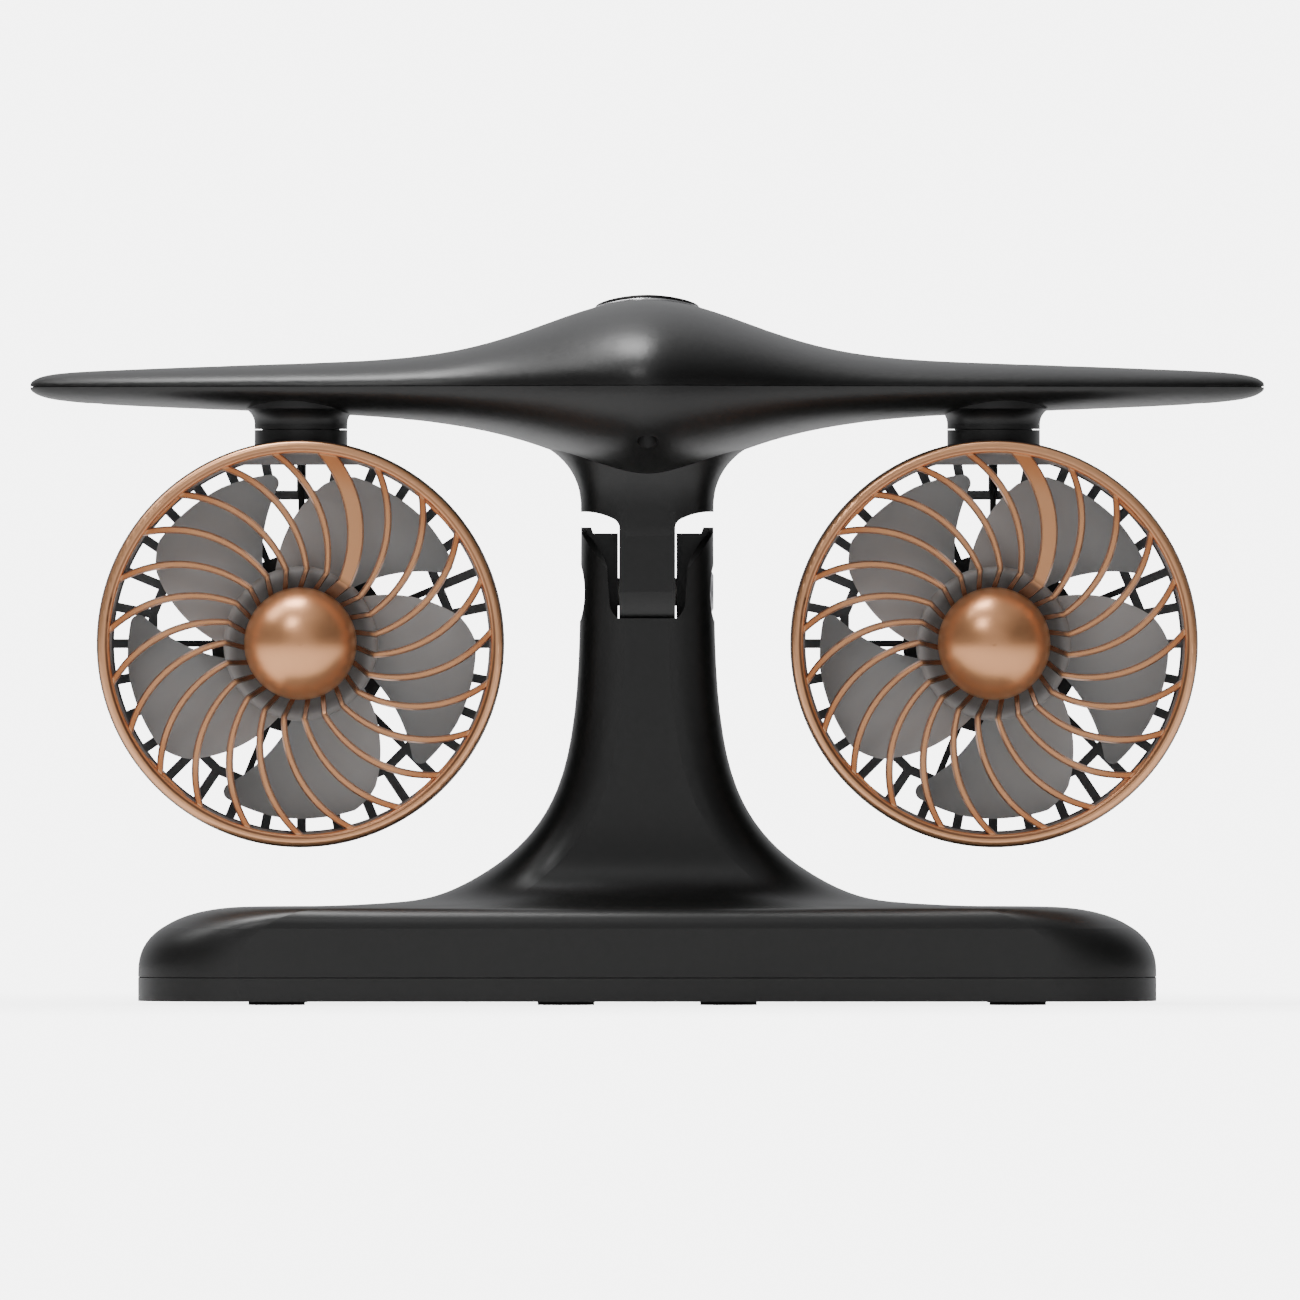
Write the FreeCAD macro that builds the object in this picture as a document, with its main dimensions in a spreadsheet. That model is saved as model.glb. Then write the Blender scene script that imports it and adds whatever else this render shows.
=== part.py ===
import FreeCAD, Part
import math
import os
import re
import Sketcher
from FreeCAD import Placement, Rotation, Vector

# Desk turbofan in the shape of an aeroplane. Millimetres, Z up, front towards -Y, X along the wing.
# The origin lies on the desk, in the middle of the base.

# Sizes
SIZES = {
    # wing and fuselage
    "half_span": 135.2, "seam_height": 135.0, "seam_gap": 0.2, "seam_depth": 0.7, "wing_wall": 2.0,
    "top_root": 6.3, "top_tip": 2.75, "top_fall": 1.7,
    "under_root": 5.6, "under_tip": 2.8, "under_fall": 4.0,
    "crown_rise": 12.6, "crown_width": 30.8,
    "belly_drop": 14.9, "belly_round": 16.0, "belly_width": 18.3,
    "wing_chord": 56.0, "tip_chord": 24.0, "nose_length": 32.0, "nose_width": 26.0,
    "wing_sweep": 10.0, "tip_bluntness": 8.0, "edge_bluntness": 40.0, "cavity_reach": 113.0,
    # stem and its foot
    "stem_half": 14.4, "stem_corner": 10.0, "stem_spread": 37.5, "stem_decay": 13.2,
    "toe_spread": 26.0, "toe_front": 8.0, "toe_decay": 0.7,
    "front_spread": 12.0, "front_decay": 4.0, "corner_spread": 10.0, "corner_decay": 8.0,
    # tilt hinge
    "hinge_height": 90.0, "hinge_gap": 0.3, "ear_radius": 14.2, "ear_step": 1.4, "ear_rim": 1.2,
    "tongue_half": 6.1, "tongue_radius": 14.2,
    "bolt_radius": 2.5, "running_fit": 0.05, "washer_radius": 3.05, "dish_radius": 6.25,
    "dish_depth": 0.9, "bolt_head_radius": 5.0, "bolt_head_seat": 12.9, "bolt_head_height": 1.6,
    "bolt_key": 1.5, "nut_flat": 4.0, "nut_seat": 10.2, "nut_thickness": 2.8, "pocket_gap": 0.1,
    "funnel_depth": 10.5, "funnel_rim": 1.1, "funnel_top": 12.8, "funnel_shoulder": 5.5,
    "funnel_waist": 2.4, "funnel_heel": 2.4, "funnel_throat": 1.9, "funnel_bottom": 5.8,
    "funnel_sweep": 16.6, "funnel_turn": 4.7,
    # neck, heights above the hinge
    "neck_half": 14.5, "neck_clear": 17.5, "neck_spring": 19.0, "neck_rise": 14.5,
    "neck_flare": 15.2, "neck_front_flare": 9.0, "neck_corner_flare": 15.0,
    "arch_low": 14.2, "arch_reach": 1.54, "arch_rise": 1.92, "arch_radius": 2.44, "arch_bow": 14.0,
    # leads
    "lead_offset": 8.0, "lead_radius": 2.0, "lead_gap": 0.2, "lead_channel": 2.8,
    "lead_bend": 4.2, "lead_level": 14.6, "lead_low": 9.8, "motor_lead": 0.7,
    # base
    "base_height": 21.1, "base_seam": 6.0, "base_flat": 85.0, "base_end": 26.0, "base_spring": 7.0,
    "base_power": 2.4,
    "base_half_depth": 44.0, "base_edge": 4.4, "base_corner": 22.0, "base_wall": 2.2,
    "foot_radius": 6.15, "foot_reveal": 0.8, "foot_recess": 0.8, "foot_outer": 80.7,
    "foot_inner": 17.7, "foot_row": 30.0, "tray_floor": 2.0, "tray_wall": 1.4, "base_lip": 1.4,
    "post_radius": 4.0, "post_across": 62.0, "post_along": 28.0, "base_screw_radius": 1.5,
    "base_screw_head": 2.9, "base_screw_sink": 1.4, "base_screw_length": 13.1,
    "ballast_half": 54.0, "ballast_front": 36.0, "ballast_back": 5.0, "ballast_thickness": 6.0,
    "board_half": 25.0, "board_front": 16.0, "board_back": 40.5, "board_thickness": 1.6,
    "board_height": 9.0, "board_post": 2.6, "board_post_across": 20.0, "board_post_front": 19.0,
    "board_post_back": 36.0, "lug_half": 3.5, "lug_front": 31.0, "lug_depth": 5.0, "lug_height": 8.6,
    "inlet_half": 4.5, "inlet_tall": 3.2, "inlet_depth": 7.4, "inlet_wall": 0.3, "inlet_sink": 0.2,
    # button on the fuselage
    "button_radius": 11.3, "button_gap": 0.3, "ring_width": 1.2, "ring_lift": 0.4, "ring_foot": 13.2,
    "button_lift": 1.1, "button_foot": 14.6, "button_back": 12.8, "well_wall": 1.5, "well_floor": 141.5,
    "well_base": 1.5, "plunger_radius": 1.6, "plunger_height": 4.9, "stem_radius": 2.5, "stem_length": 3.5,
    "button_travel": 0.9, "button_board": 9.0, "card_thickness": 1.2, "switch_half": 3.0,
    "switch_height": 3.0,
    # wing screws
    "belly_screw": 35.0, "tip_screw": 120.5, "case_screw_radius": 1.3, "case_head_radius": 2.2,
    "case_boss_radius": 3.6, "belly_head_height": 131.0, "tip_head_height": 132.8,
    "belly_head": 1.6, "tip_head": 0.9, "belly_bite": 7.5, "tip_bite": 1.7,
    # swivel pylons
    "fan_offset": 75.7, "fan_height": 78.7, "pylon_radius": 10.15, "pylon_joint": 125.4,
    "pylon_gap": 0.2, "pylon_lip": 8.5, "lip_rise": 0.6, "pylon_collar": 1.3, "pylon_flare": 2.1,
    "flare_rise": 3.35, "pylon_root": 8.1, "spigot_radius": 5.5, "spigot_bore": 3.2, "swivel_seat": 131.9,
    "clip_radius": 8.0, "clip_thickness": 1.0, "clip_groove": 0.7, "clip_mouth": 2.4, "clip_room": 0.6,
    # fan heads
    "seat_gap": 0.05, "ring_outer": 44.3, "ring_inner": 41.6, "ring_front": 17.0, "ring_back": 13.0,
    "ring_round": 1.2, "shroud_outer": 44.5, "shroud_tail": 43.8, "shroud_inner": 42.2,
    "shroud_back": 13.5, "shroud_round": 1.2, "shroud_lip": 41.2, "chin_height": 39.1,
    "chin_half": 13.4, "chin_depth": 10.8,
    "rib_count": 23.0, "rib_start": 98.9, "rib_sweep": 29.3, "rib_bow": 26.6, "rib_kink": 16.4,
    "rib_return": 8.3, "rib_outer_half": 1.45, "rib_inner_half": 2.4, "wide_rib_outer": 3.2,
    "wide_rib_inner": 5.7, "rib_front": 16.3, "rib_depth": 2.2, "rib_draft": 0.35,
    "grille_hub": 11.6, "hub_band": 2.4, "hub_dish": 16.2,
    "tab_reach": 0.6, "tab_depth": 2.0, "tab_turn": 8.0,
    "cap_radius": 12.3, "cap_rise": 8.9, "cap_face": 14.6, "cap_spigot": 1.5,
    "back_rim": 1.1, "back_front": 11.0, "back_bar": 1.0, "inner_bar": 0.7, "back_ring": 32.5,
    "back_hub": 18.7,
    "motor_radius": 12.1, "motor_front": 1.0, "motor_chamfer": 0.8, "motor_neck": 3.0,
    "cup_wall": 1.8, "cup_front": 3.0, "shaft_radius": 1.0, "shaft_front": 8.6, "shaft_back": 7.0,
    "motor_screw": 1.1, "motor_screw_across": 6.0, "motor_screw_bite": 2.5, "motor_screw_head": 2.0,
    # impellers
    "hub_radius": 16.9, "hub_front": 10.0, "hub_back": 8.0, "hub_wall": 1.8, "hub_round": 1.5,
    "hub_boss": 3.0, "hub_running": 0.6,
    "blade_count": 5.0, "blade_tip": 38.3, "blade_pitch": 66.0, "blade_thickness": 1.5,
    "blade_start": 98.0, "blade_rear": 7.0, "blade_hollow": 33.0, "blade_nose": 1.9, "blade_brow": 41.0,
    "blade_heel": 14.0, "blade_back": 28.0,
}

doc = FreeCAD.newDocument("desk_turbofan")
sheet = doc.addObject("Spreadsheet::Sheet", "dims")
for row, (alias, size) in enumerate(SIZES.items(), 1):
    sheet.set("A%d" % row, alias)
    sheet.set("B%d" % row, str(size))
    sheet.setAlias("B%d" % row, alias)
doc.recompute()

finished = []


# Helpers
def dim(text):
    """The expression with each size name pointed at its cell."""
    return re.sub(r"[a-z_]+", lambda word: "dims." + word[0] if word[0] in SIZES else word[0], str(text))


def number(text):
    return float(sheet.evalExpression(dim(text)))


def bind(thing, path, text):
    thing.setExpression(path, dim(text))


def place(thing, x="0", y="0", z="0"):
    for axis, text in zip("xyz", (x, y, z)):
        if text != "0":
            bind(thing, "Placement.Base." + axis, text)


def new_body(name):
    return doc.addObject("PartDesign::Body", name)


def origin(body, role):
    return [f for f in body.Origin.OriginFeatures if f.Role == role][0]


def new_sketch(body, plane, level="0"):
    sketch = body.newObject("Sketcher::SketchObject", "sketch")
    sketch.AttachmentSupport = [(origin(body, plane), "")]
    sketch.MapMode = "FlatFace"
    if level != "0":
        bind(sketch, "AttachmentOffset.Base.z", level)
    return sketch


def fix(sketch, geo, end, x, y):
    """Holds a point of the sketch at the two expressions."""
    for kind, axis, text in (("DistanceX", -2, x), ("DistanceY", -1, y)):
        if str(text) == "0":
            sketch.addConstraint(Sketcher.Constraint("PointOnObject", geo, end, axis))
        else:
            index = sketch.addConstraint(Sketcher.Constraint(kind, geo, end, number(text)))
            bind(sketch, "Constraints[%d]" % index, text)


def outline(sketch, corners):
    """Closed loop of corners (x, y) or (x, y, radius); the radius bends the edge that leaves the corner,
    counter-clockwise when its sign is +, clockwise when it is -."""
    points = [Vector(number(c[0]), number(c[1]), 0) for c in corners]
    ends = []
    for i, corner in enumerate(corners):
        start, stop = points[i], points[(i + 1) % len(points)]
        if len(corner) == 2:
            ends.append((sketch.addGeometry(Part.LineSegment(start, stop)), 1, 2))
            continue
        text = corner[2]
        clockwise = text.startswith("-")
        radius = number(text.lstrip("+-"))
        chord = stop - start
        side = Vector(-chord.y, chord.x, 0).normalize() * (-1 if clockwise else 1)
        rise = math.sqrt(max(radius ** 2 - chord.Length ** 2 / 4, 0))
        middle = (start + stop) / 2 + side * rise
        first, last = (stop, start) if clockwise else (start, stop)
        angles = [math.atan2(p.y - middle.y, p.x - middle.x) for p in (first, last)]
        arc = Part.ArcOfCircle(Part.Circle(middle, Vector(0, 0, 1), radius), *angles)
        geo = sketch.addGeometry(arc)
        ends.append((geo, 2, 1) if clockwise else (geo, 1, 2))
        index = sketch.addConstraint(Sketcher.Constraint("Radius", geo, radius))
        bind(sketch, "Constraints[%d]" % index, text.lstrip("+-"))
    for i, corner in enumerate(corners):
        before, here = ends[i - 1], ends[i]
        sketch.addConstraint(Sketcher.Constraint("Coincident", before[0], before[2], here[0], here[1]))
        fix(sketch, here[0], here[1], corner[0], corner[1])
    return sketch


def circle(sketch, x, y, radius):
    middle = Vector(number(x), number(y), 0)
    geo = sketch.addGeometry(Part.Circle(middle, Vector(0, 0, 1), number(radius)))
    index = sketch.addConstraint(Sketcher.Constraint("Radius", geo, number(radius)))
    bind(sketch, "Constraints[%d]" % index, radius)
    fix(sketch, geo, 3, x, y)
    return sketch


def rounded(sketch, half_x, half_y, corner):
    """Rounded rectangle about the origin of the sketch."""
    across, along = "(%s)" % half_x, "(%s)" % half_y
    flat_x, flat_y = "(%s - (%s))" % (across, corner), "(%s - (%s))" % (along, corner)
    bend = "+" + corner
    return outline(sketch, [
        ("-" + flat_x, "-" + along), (flat_x, "-" + along, bend),
        (across, "-" + flat_y), (across, flat_y, bend),
        (flat_x, along), ("-" + flat_x, along, bend),
        ("-" + across, flat_y), ("-" + across, "-" + flat_y, bend)])


def stadium(sketch, flat, middle, radius):
    """Slot with round ends; its straight sides run from -flat to flat at a height."""
    low, high = "%s - %s" % (middle, radius), "%s + %s" % (middle, radius)
    bend = "+%s*1.00001" % radius
    return outline(sketch, [("-" + flat, low), (flat, low, bend), (flat, high), ("-" + flat, high, bend)])


def box_outline(sketch, left, bottom, right, top):
    return outline(sketch, [(left, bottom), (right, bottom), (right, top), (left, top)])


def feature(body, kind, profile, length=None, back=False, through=False, middle=False):
    made = body.newObject("PartDesign::" + kind, kind.lower())
    made.Profile = profile
    made.Midplane = middle
    made.Reversed = back
    if through:
        made.Type = 1
    else:
        bind(made, "Length", length)
    doc.recompute()
    return made


def turned(body, kind, profile, axis):
    made = body.newObject("PartDesign::" + kind, kind.lower())
    made.Profile = profile
    made.ReferenceAxis = (profile, [axis])
    made.Angle = 360
    doc.recompute()
    return made


def lofted(body, kind, sections):
    made = body.newObject("PartDesign::" + kind, kind.lower())
    made.Profile = sections[0]
    made.Sections = sections[1:]
    made.Ruled = False
    doc.recompute()
    return made


def around(body, originals, axis, count):
    made = body.newObject("PartDesign::PolarPattern", "pattern")
    made.Originals = originals
    made.Axis = (origin(body, axis), [""])
    made.Angle = 360
    bind(made, "Occurrences", count)
    body.Tip = made
    doc.recompute()
    return made


def cylinder(radius, height, x="0", y="0", z="0", turn=None):
    made = doc.addObject("Part::Cylinder", "cylinder")
    bind(made, "Radius", radius)
    bind(made, "Height", height)
    if turn:
        made.Placement = Placement(Vector(), Rotation(*turn))
    place(made, x, y, z)
    return made


def block(x0, x1, y0, y1, z0, z1):
    made = doc.addObject("Part::Box", "block")
    for size, low, high in (("Length", x0, x1), ("Width", y0, y1), ("Height", z0, z1)):
        bind(made, size, "(%s) - (%s)" % (high, low))
    place(made, x0, y0, z0)
    return made


def combined(kind, pieces, name="combined"):
    made = doc.addObject("Part::" + kind, name)
    if kind in ("MultiFuse", "MultiCommon"):
        made.Shapes = pieces
    else:
        made.Base, made.Tool = pieces
    doc.recompute()
    return made


def cross_drive(x, y, half, blade, low, high):
    """Two crossed bars that cut the drive of a screw head."""
    bars = []
    for across, along in ((half, blade), (blade, half)):
        bars.append(block("%s - %s" % (x, across), "%s + %s" % (x, across),
                          "%s - %s" % (y, along), "%s + %s" % (y, along), low, high))
    return combined("MultiFuse", bars)


def finish(thing, label):
    thing.Label = label
    finished.append(thing)
    return thing


ALONG_X = (Vector(0, 1, 0), 90)
ALONG_BACK = (Vector(1, 0, 0), -90)
SIDES = (("left", "-"), ("right", ""))


# Stand shell: base cover, flaring stem and fork
def base_section(body, level, drop):
    """Plan of the base at a height; its ends curve in with the height, its long edges by the drop."""
    rise = "((%s - base_spring)/(base_height - base_spring))" % level
    half_x = "base_flat + base_end*(1 - %s^base_power)^(1/base_power)" % rise
    half_y = "base_half_depth - %s" % drop
    return rounded(new_sketch(body, "XY_Plane", level), half_x, half_y, "(base_corner - %s)" % drop)


def build_base_cover(body):
    """Upright wall with curved ends, then the rounded edge, then the hollow from below."""
    shoulder = "(base_height - base_edge)"
    foot = "base_seam + seam_gap/2"
    plan = new_sketch(body, "XY_Plane", foot)
    rounded(plan, "base_flat + base_end", "base_half_depth", "base_corner")
    feature(body, "Pad", plan, "base_spring - (%s)" % foot)
    wall = []
    for share in (0, 0.25, 0.5, 0.75, 1):
        level = "(base_spring + (%s - base_spring)*%g)" % (shoulder, share)
        wall.append(base_section(body, level, "0"))
    lofted(body, "AdditiveLoft", wall)
    edge = []
    for turn in (0, 15, 30, 45, 60, 73, 82, 88):
        level = "(base_height - base_edge*(1 - sin(%d)))" % turn
        edge.append(base_section(body, level, "base_edge*(1 - cos(%d))" % turn))
    lofted(body, "AdditiveLoft", edge)
    for low, high, half_x, inset in (
            ("base_seam - 1", "base_seam + 2", "base_flat + base_end - base_wall", "base_wall"),
            ("base_seam", "base_height - base_wall", "base_flat + base_end/2", "(base_wall + 0.5)")):
        hollow = rounded(new_sketch(body, "XY_Plane", low), half_x,
                         "base_half_depth - " + inset, "(base_corner - %s)" % inset)
        feature(body, "Pocket", hollow, "%s - (%s)" % (high, low), back=True)


def stem_section(body, level):
    rise = "(%s - base_height)" % level
    half_x = "stem_half + stem_spread*exp(-%s/stem_decay) + toe_spread*exp(-%s/toe_decay)" % (rise, rise)
    half_y = "ear_radius + front_spread*exp(-%s/front_decay) + toe_front*exp(-%s/toe_decay)" % (rise, rise)
    corner = "(stem_corner + corner_spread*exp(-%s/corner_decay))" % rise
    return rounded(new_sketch(body, "XY_Plane", level), half_x, half_y, corner)


def cut_fork(body):
    """Rounds the ears about the hinge and cuts the slot for the tongue."""
    beyond = "(ear_radius + 9)"
    high = "hinge_height + ear_radius + 9"
    ears = new_sketch(body, "YZ_Plane")
    outline(ears, [
        ("ear_radius", "hinge_height"), (beyond, "hinge_height"), (beyond, high), ("-" + beyond, high),
        ("-" + beyond, "hinge_height"), ("-ear_radius", "hinge_height", "-ear_radius*1.00001")])
    feature(body, "Pocket", ears, through=True, middle=True)
    slot = new_sketch(body, "YZ_Plane")
    reach = "(tongue_radius + hinge_gap)"
    outline(slot, [
        ("-" + beyond, "hinge_height"), ("-" + reach, "hinge_height", "+%s*1.00001" % reach),
        (reach, "hinge_height"), (beyond, "hinge_height"), (beyond, high), ("-" + beyond, high)])
    feature(body, "Pocket", slot, "2*(tongue_half + hinge_gap)", middle=True)


def cut_funnels(body):
    """Funnel-shaped reliefs in front and behind, and the stepped tops of the ears."""
    half = "(tongue_half + hinge_gap)"
    top = "hinge_height + funnel_top"
    for face, back in (("(ear_radius + 1)", False), ("-(ear_radius + 1)", True)):
        funnel = new_sketch(body, "XZ_Plane", face)
        outline(funnel, [
            ("-stem_half + funnel_rim", top, "-funnel_sweep"),
            ("-%s - funnel_waist" % half, "hinge_height + funnel_shoulder"),
            ("-%s - funnel_throat" % half, "hinge_height - funnel_heel", "+funnel_turn"),
            ("-" + half, "hinge_height - funnel_bottom"),
            (half, "hinge_height - funnel_bottom", "+funnel_turn"),
            ("%s + funnel_throat" % half, "hinge_height - funnel_heel"),
            ("%s + funnel_waist" % half, "hinge_height + funnel_shoulder", "-funnel_sweep"),
            ("stem_half - funnel_rim", top),
            ("stem_half - funnel_rim", top + " + 4"), ("-stem_half + funnel_rim", top + " + 4")])
        feature(body, "Pocket", funnel, "funnel_depth + 1", back=back)
    step = new_sketch(body, "XZ_Plane")
    low = "hinge_height + ear_radius - ear_step"
    outline(step, [
        ("-stem_half + ear_rim + ear_step", low), ("stem_half - ear_rim - ear_step", low),
        ("stem_half - ear_rim", low + " + 4"), ("-stem_half + ear_rim", low + " + 4")])
    feature(body, "Pocket", step, through=True, middle=True)


def cut_hinge_holes(body):
    """Scalloped sides, bolt hole, head seat and nut pocket."""
    dish = new_sketch(body, "XZ_Plane")
    side, beyond = "(stem_half + 0.2)", "(stem_half + 3)"
    low, high = "hinge_height - dish_radius", "hinge_height + dish_radius"
    bend = "+(dish_radius^2 + dish_depth^2)/(2*dish_depth)"
    outline(dish, [(beyond, low), (beyond, high), (side, high, bend), (side, low)])
    outline(dish, [("-" + beyond, high), ("-" + beyond, low), ("-" + side, low, bend), ("-" + side, high)])
    feature(body, "Pocket", dish, through=True, middle=True)
    bore = circle(new_sketch(body, "YZ_Plane"), "0", "hinge_height", "bolt_radius")
    feature(body, "Pocket", bore, through=True, middle=True)
    seat = new_sketch(body, "YZ_Plane", "bolt_head_seat")
    circle(seat, "0", "hinge_height", "bolt_head_radius + pocket_gap")
    feature(body, "Pocket", seat, "5", back=True)
    nut = new_sketch(body, "YZ_Plane", "-nut_seat")
    circle(nut, "0", "hinge_height", "nut_flat/cos(30) + pocket_gap")
    feature(body, "Pocket", nut, "9")


def build_stand_shell():
    body = new_body("stand_shell_body")
    build_base_cover(body)
    heights = (-0.05, 0.2, 0.5, 1, 2.1, 3.9, 6.4, 9.9, 15, 22, 31, 43, 57)
    levels = ["(base_height + %g)" % h for h in heights]
    levels += ["hinge_height", "(hinge_height + ear_radius + 1)"]
    lofted(body, "AdditiveLoft", [stem_section(body, level) for level in levels])
    cut_fork(body)
    cut_funnels(body)
    cut_hinge_holes(body)
    # lead channel from the slot to the base
    lead = circle(new_sketch(body, "XY_Plane", "hinge_height"), "0", "lead_offset", "lead_channel")
    feature(body, "Pocket", lead, "hinge_height - base_height + base_wall + 2")
    # screw posts
    posts = new_sketch(body, "XY_Plane", "foot_reveal + tray_floor")
    holes = new_sketch(body, "XY_Plane", "foot_reveal")
    for x, y in POSTS:
        circle(posts, x, y, "post_radius")
        circle(holes, x, y, "base_screw_radius")
    feature(body, "Pad", posts, "base_height - base_wall/2 - foot_reveal - tray_floor")
    feature(body, "Pocket", holes, "base_screw_length + 1", back=True)
    # socket opening at the rear
    socket = new_sketch(body, "XZ_Plane", "-base_half_depth - 1")
    stadium(socket, INLET_FLAT, INLET_MIDDLE, "(inlet_tall/2 + pocket_gap)")
    feature(body, "Pocket", socket, "base_wall + 2", back=True)
    finish(body, "stand_shell")


# Base plate: shallow tray with a lip that sits inside the shell
def corners_of(x, y):
    return [(sx + x, sy + y) for sx in ("-", "") for sy in ("-", "")]


FEET = corners_of("foot_outer", "foot_row") + corners_of("foot_inner", "foot_row")
POSTS = corners_of("post_across", "post_along")


def base_plan(body, level, inset):
    half_x = "base_flat + base_end - (%s)" % inset
    half_y = "base_half_depth - (%s)" % inset
    return rounded(new_sketch(body, "XY_Plane", level), half_x, half_y, "(base_corner - (%s))" % inset)


def build_base():
    body = new_body("base_plate_body")
    feature(body, "Pad", base_plan(body, "foot_reveal", "0"), "base_seam - seam_gap/2 - foot_reveal")
    lip = base_plan(body, "foot_reveal", "base_wall + pocket_gap")
    feature(body, "Pad", lip, "base_seam + base_lip - foot_reveal")
    tray = base_plan(body, "foot_reveal + tray_floor", "base_wall + pocket_gap + tray_wall")
    feature(body, "Pocket", tray, "base_height", back=True)
    # board posts, standing on the floor
    posts = new_sketch(body, "XY_Plane", "foot_reveal + tray_floor/2")
    for x in ("-board_post_across", "board_post_across"):
        for y in ("board_post_front", "board_post_back"):
            circle(posts, x, y, "board_post")
    feature(body, "Pad", posts, "board_height - board_thickness - tray_floor/2")
    # screw holes with sunk heads, and recesses for the feet
    for radius, depth, spots in (("base_screw_radius", "tray_floor + 1", POSTS),
                                 ("base_screw_head", "base_screw_sink", POSTS),
                                 ("foot_radius", "foot_recess", FEET)):
        holes = new_sketch(body, "XY_Plane", "foot_reveal")
        for x, y in spots:
            circle(holes, x, y, radius)
        feature(body, "Pocket", holes, depth, back=True)
    finish(body, "base_plate")

    feet = [cylinder("foot_radius", "foot_reveal + foot_recess", x, y) for x, y in FEET]
    finish(combined("MultiFuse", feet), "rubber_feet")

    screws = []
    for x, y in POSTS:
        head = cylinder("base_screw_head", "base_screw_sink", x, y, "foot_reveal")
        shank = cylinder("base_screw_radius", "base_screw_length", x, y, "foot_reveal")
        drive = cross_drive(x, y, "1.7", "0.4", "foot_reveal - 1", "foot_reveal + 0.7")
        screws.append(combined("Cut", [combined("MultiFuse", [head, shank]), drive]))
    finish(combined("MultiFuse", screws), "base_screws")

    body = new_body("ballast_body")
    plan = new_sketch(body, "XY_Plane", "foot_reveal + tray_floor")
    box_outline(plan, "-ballast_half", "-ballast_front", "ballast_half", "ballast_back")
    feature(body, "Pad", plan, "ballast_thickness")
    finish(body, "ballast_plate")


# Control board with its chips, the socket on its rear edge, and the leads
BOARD_TOP = "foot_reveal + board_height"
INLET_MIDDLE = "(foot_reveal + board_height + inlet_tall/2)"
INLET_FLAT = "(inlet_half - inlet_tall/2)"


def build_electrics():
    top = BOARD_TOP
    card = block("-board_half", "board_half", "board_front", "board_back", top + " - board_thickness", top)
    chip = block("-4", "4", "22", "28", top, top + " + 1.2")
    coil = block("-19", "-12", "22", "29", top, top + " + 3.4")
    can = cylinder("3", "6", "14", "25", top)
    lug = block("-lug_half", "lug_half", "lug_front", "lug_front + lug_depth", top, top + " + lug_height")
    finish(combined("MultiFuse", [card, chip, coil, can, lug]), "control_board")

    body = new_body("power_inlet_body")
    face = "-(base_half_depth - inlet_sink)"
    shell = stadium(new_sketch(body, "XZ_Plane", face), INLET_FLAT, INLET_MIDDLE, "(inlet_tall/2)")
    feature(body, "Pad", shell, "inlet_depth")
    inner = new_sketch(body, "XZ_Plane", face)
    stadium(inner, INLET_FLAT, INLET_MIDDLE, "(inlet_tall/2 - inlet_wall)")
    feature(body, "Pocket", inner, "inlet_depth - 1", back=True)
    blade = new_sketch(body, "XZ_Plane", face + " + 1")
    box_outline(blade, "-" + INLET_FLAT, INLET_MIDDLE + " - 0.35", INLET_FLAT, INLET_MIDDLE + " + 0.35")
    feature(body, "Pad", blade, "inlet_depth - 1.5")
    finish(body, "power_inlet")


def build_leads():
    """Stand lead from the board's lug up the stem, and wing lead from the tongue to the button board."""
    bend_level = "lead_level + lead_bend"
    height = "hinge_height - tongue_radius - (%s)" % bend_level
    rise = cylinder("lead_radius", height, "0", "lead_offset", bend_level)
    elbow = doc.addObject("Part::Torus", "elbow")
    bind(elbow, "Radius1", "lead_bend")
    bind(elbow, "Radius2", "lead_radius")
    elbow.Angle3 = 90
    turn = Rotation(Vector(0, -1, 0), Vector(0, 0, -1), Vector(1, 0, 0), "ZXY")
    elbow.Placement = Placement(Vector(), turn)
    place(elbow, "0", "lead_offset + lead_bend", bend_level)
    start = "lead_offset + lead_bend"
    run = cylinder("lead_radius", "lug_front - (%s)" % start, "0", start, "lead_level", ALONG_BACK)
    finish(combined("MultiFuse", [rise, elbow, run]), "stand_lead")

    length = "well_floor + well_base - hinge_height + lead_low"
    finish(cylinder("lead_radius", length, "0", "lead_offset", "hinge_height - lead_low"), "wing_lead")


# Tilt hinge hardware
def hexagon(sketch, flat):
    corners = []
    for angle in range(15, 375, 60):
        across, up = polar(flat + "/cos(30)", "%d" % angle)
        corners.append((across, "hinge_height + " + up))
    return outline(sketch, corners)


def build_hinge():
    start = "-nut_seat - nut_thickness"
    shank = cylinder("bolt_radius", "bolt_head_seat - (%s)" % start, start, "0", "hinge_height", ALONG_X)
    body = new_body("bolt_head")
    head = new_sketch(body, "XY_Plane", "hinge_height")
    crown = "bolt_head_seat + bolt_head_height"
    outline(head, [
        ("bolt_head_seat", "0"), (crown, "0"), (crown, "bolt_head_radius - 1.4"),
        (crown + " - 0.6", "bolt_head_radius"), ("bolt_head_seat", "bolt_head_radius")])
    turned(body, "Revolution", head, "H_Axis")
    feature(body, "Pocket", hexagon(new_sketch(body, "YZ_Plane", crown), "bolt_key"), "1")
    finish(combined("MultiFuse", [shank, body]), "hinge_bolt")

    body = new_body("nut_body")
    plan = hexagon(new_sketch(body, "YZ_Plane", "-nut_seat"), "nut_flat")
    circle(plan, "0", "hinge_height", "bolt_radius")
    feature(body, "Pad", plan, "nut_thickness", back=True)
    finish(body, "hinge_nut")

    washers = []
    for start in ("tongue_half", "-tongue_half - hinge_gap"):
        disc = cylinder("washer_radius", "hinge_gap", start, "0", "hinge_height", ALONG_X)
        hole = cylinder("bolt_radius", "hinge_gap", start, "0", "hinge_height", ALONG_X)
        washers.append(combined("Cut", [disc, hole]))
    finish(combined("MultiFuse", washers), "hinge_washers")


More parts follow.
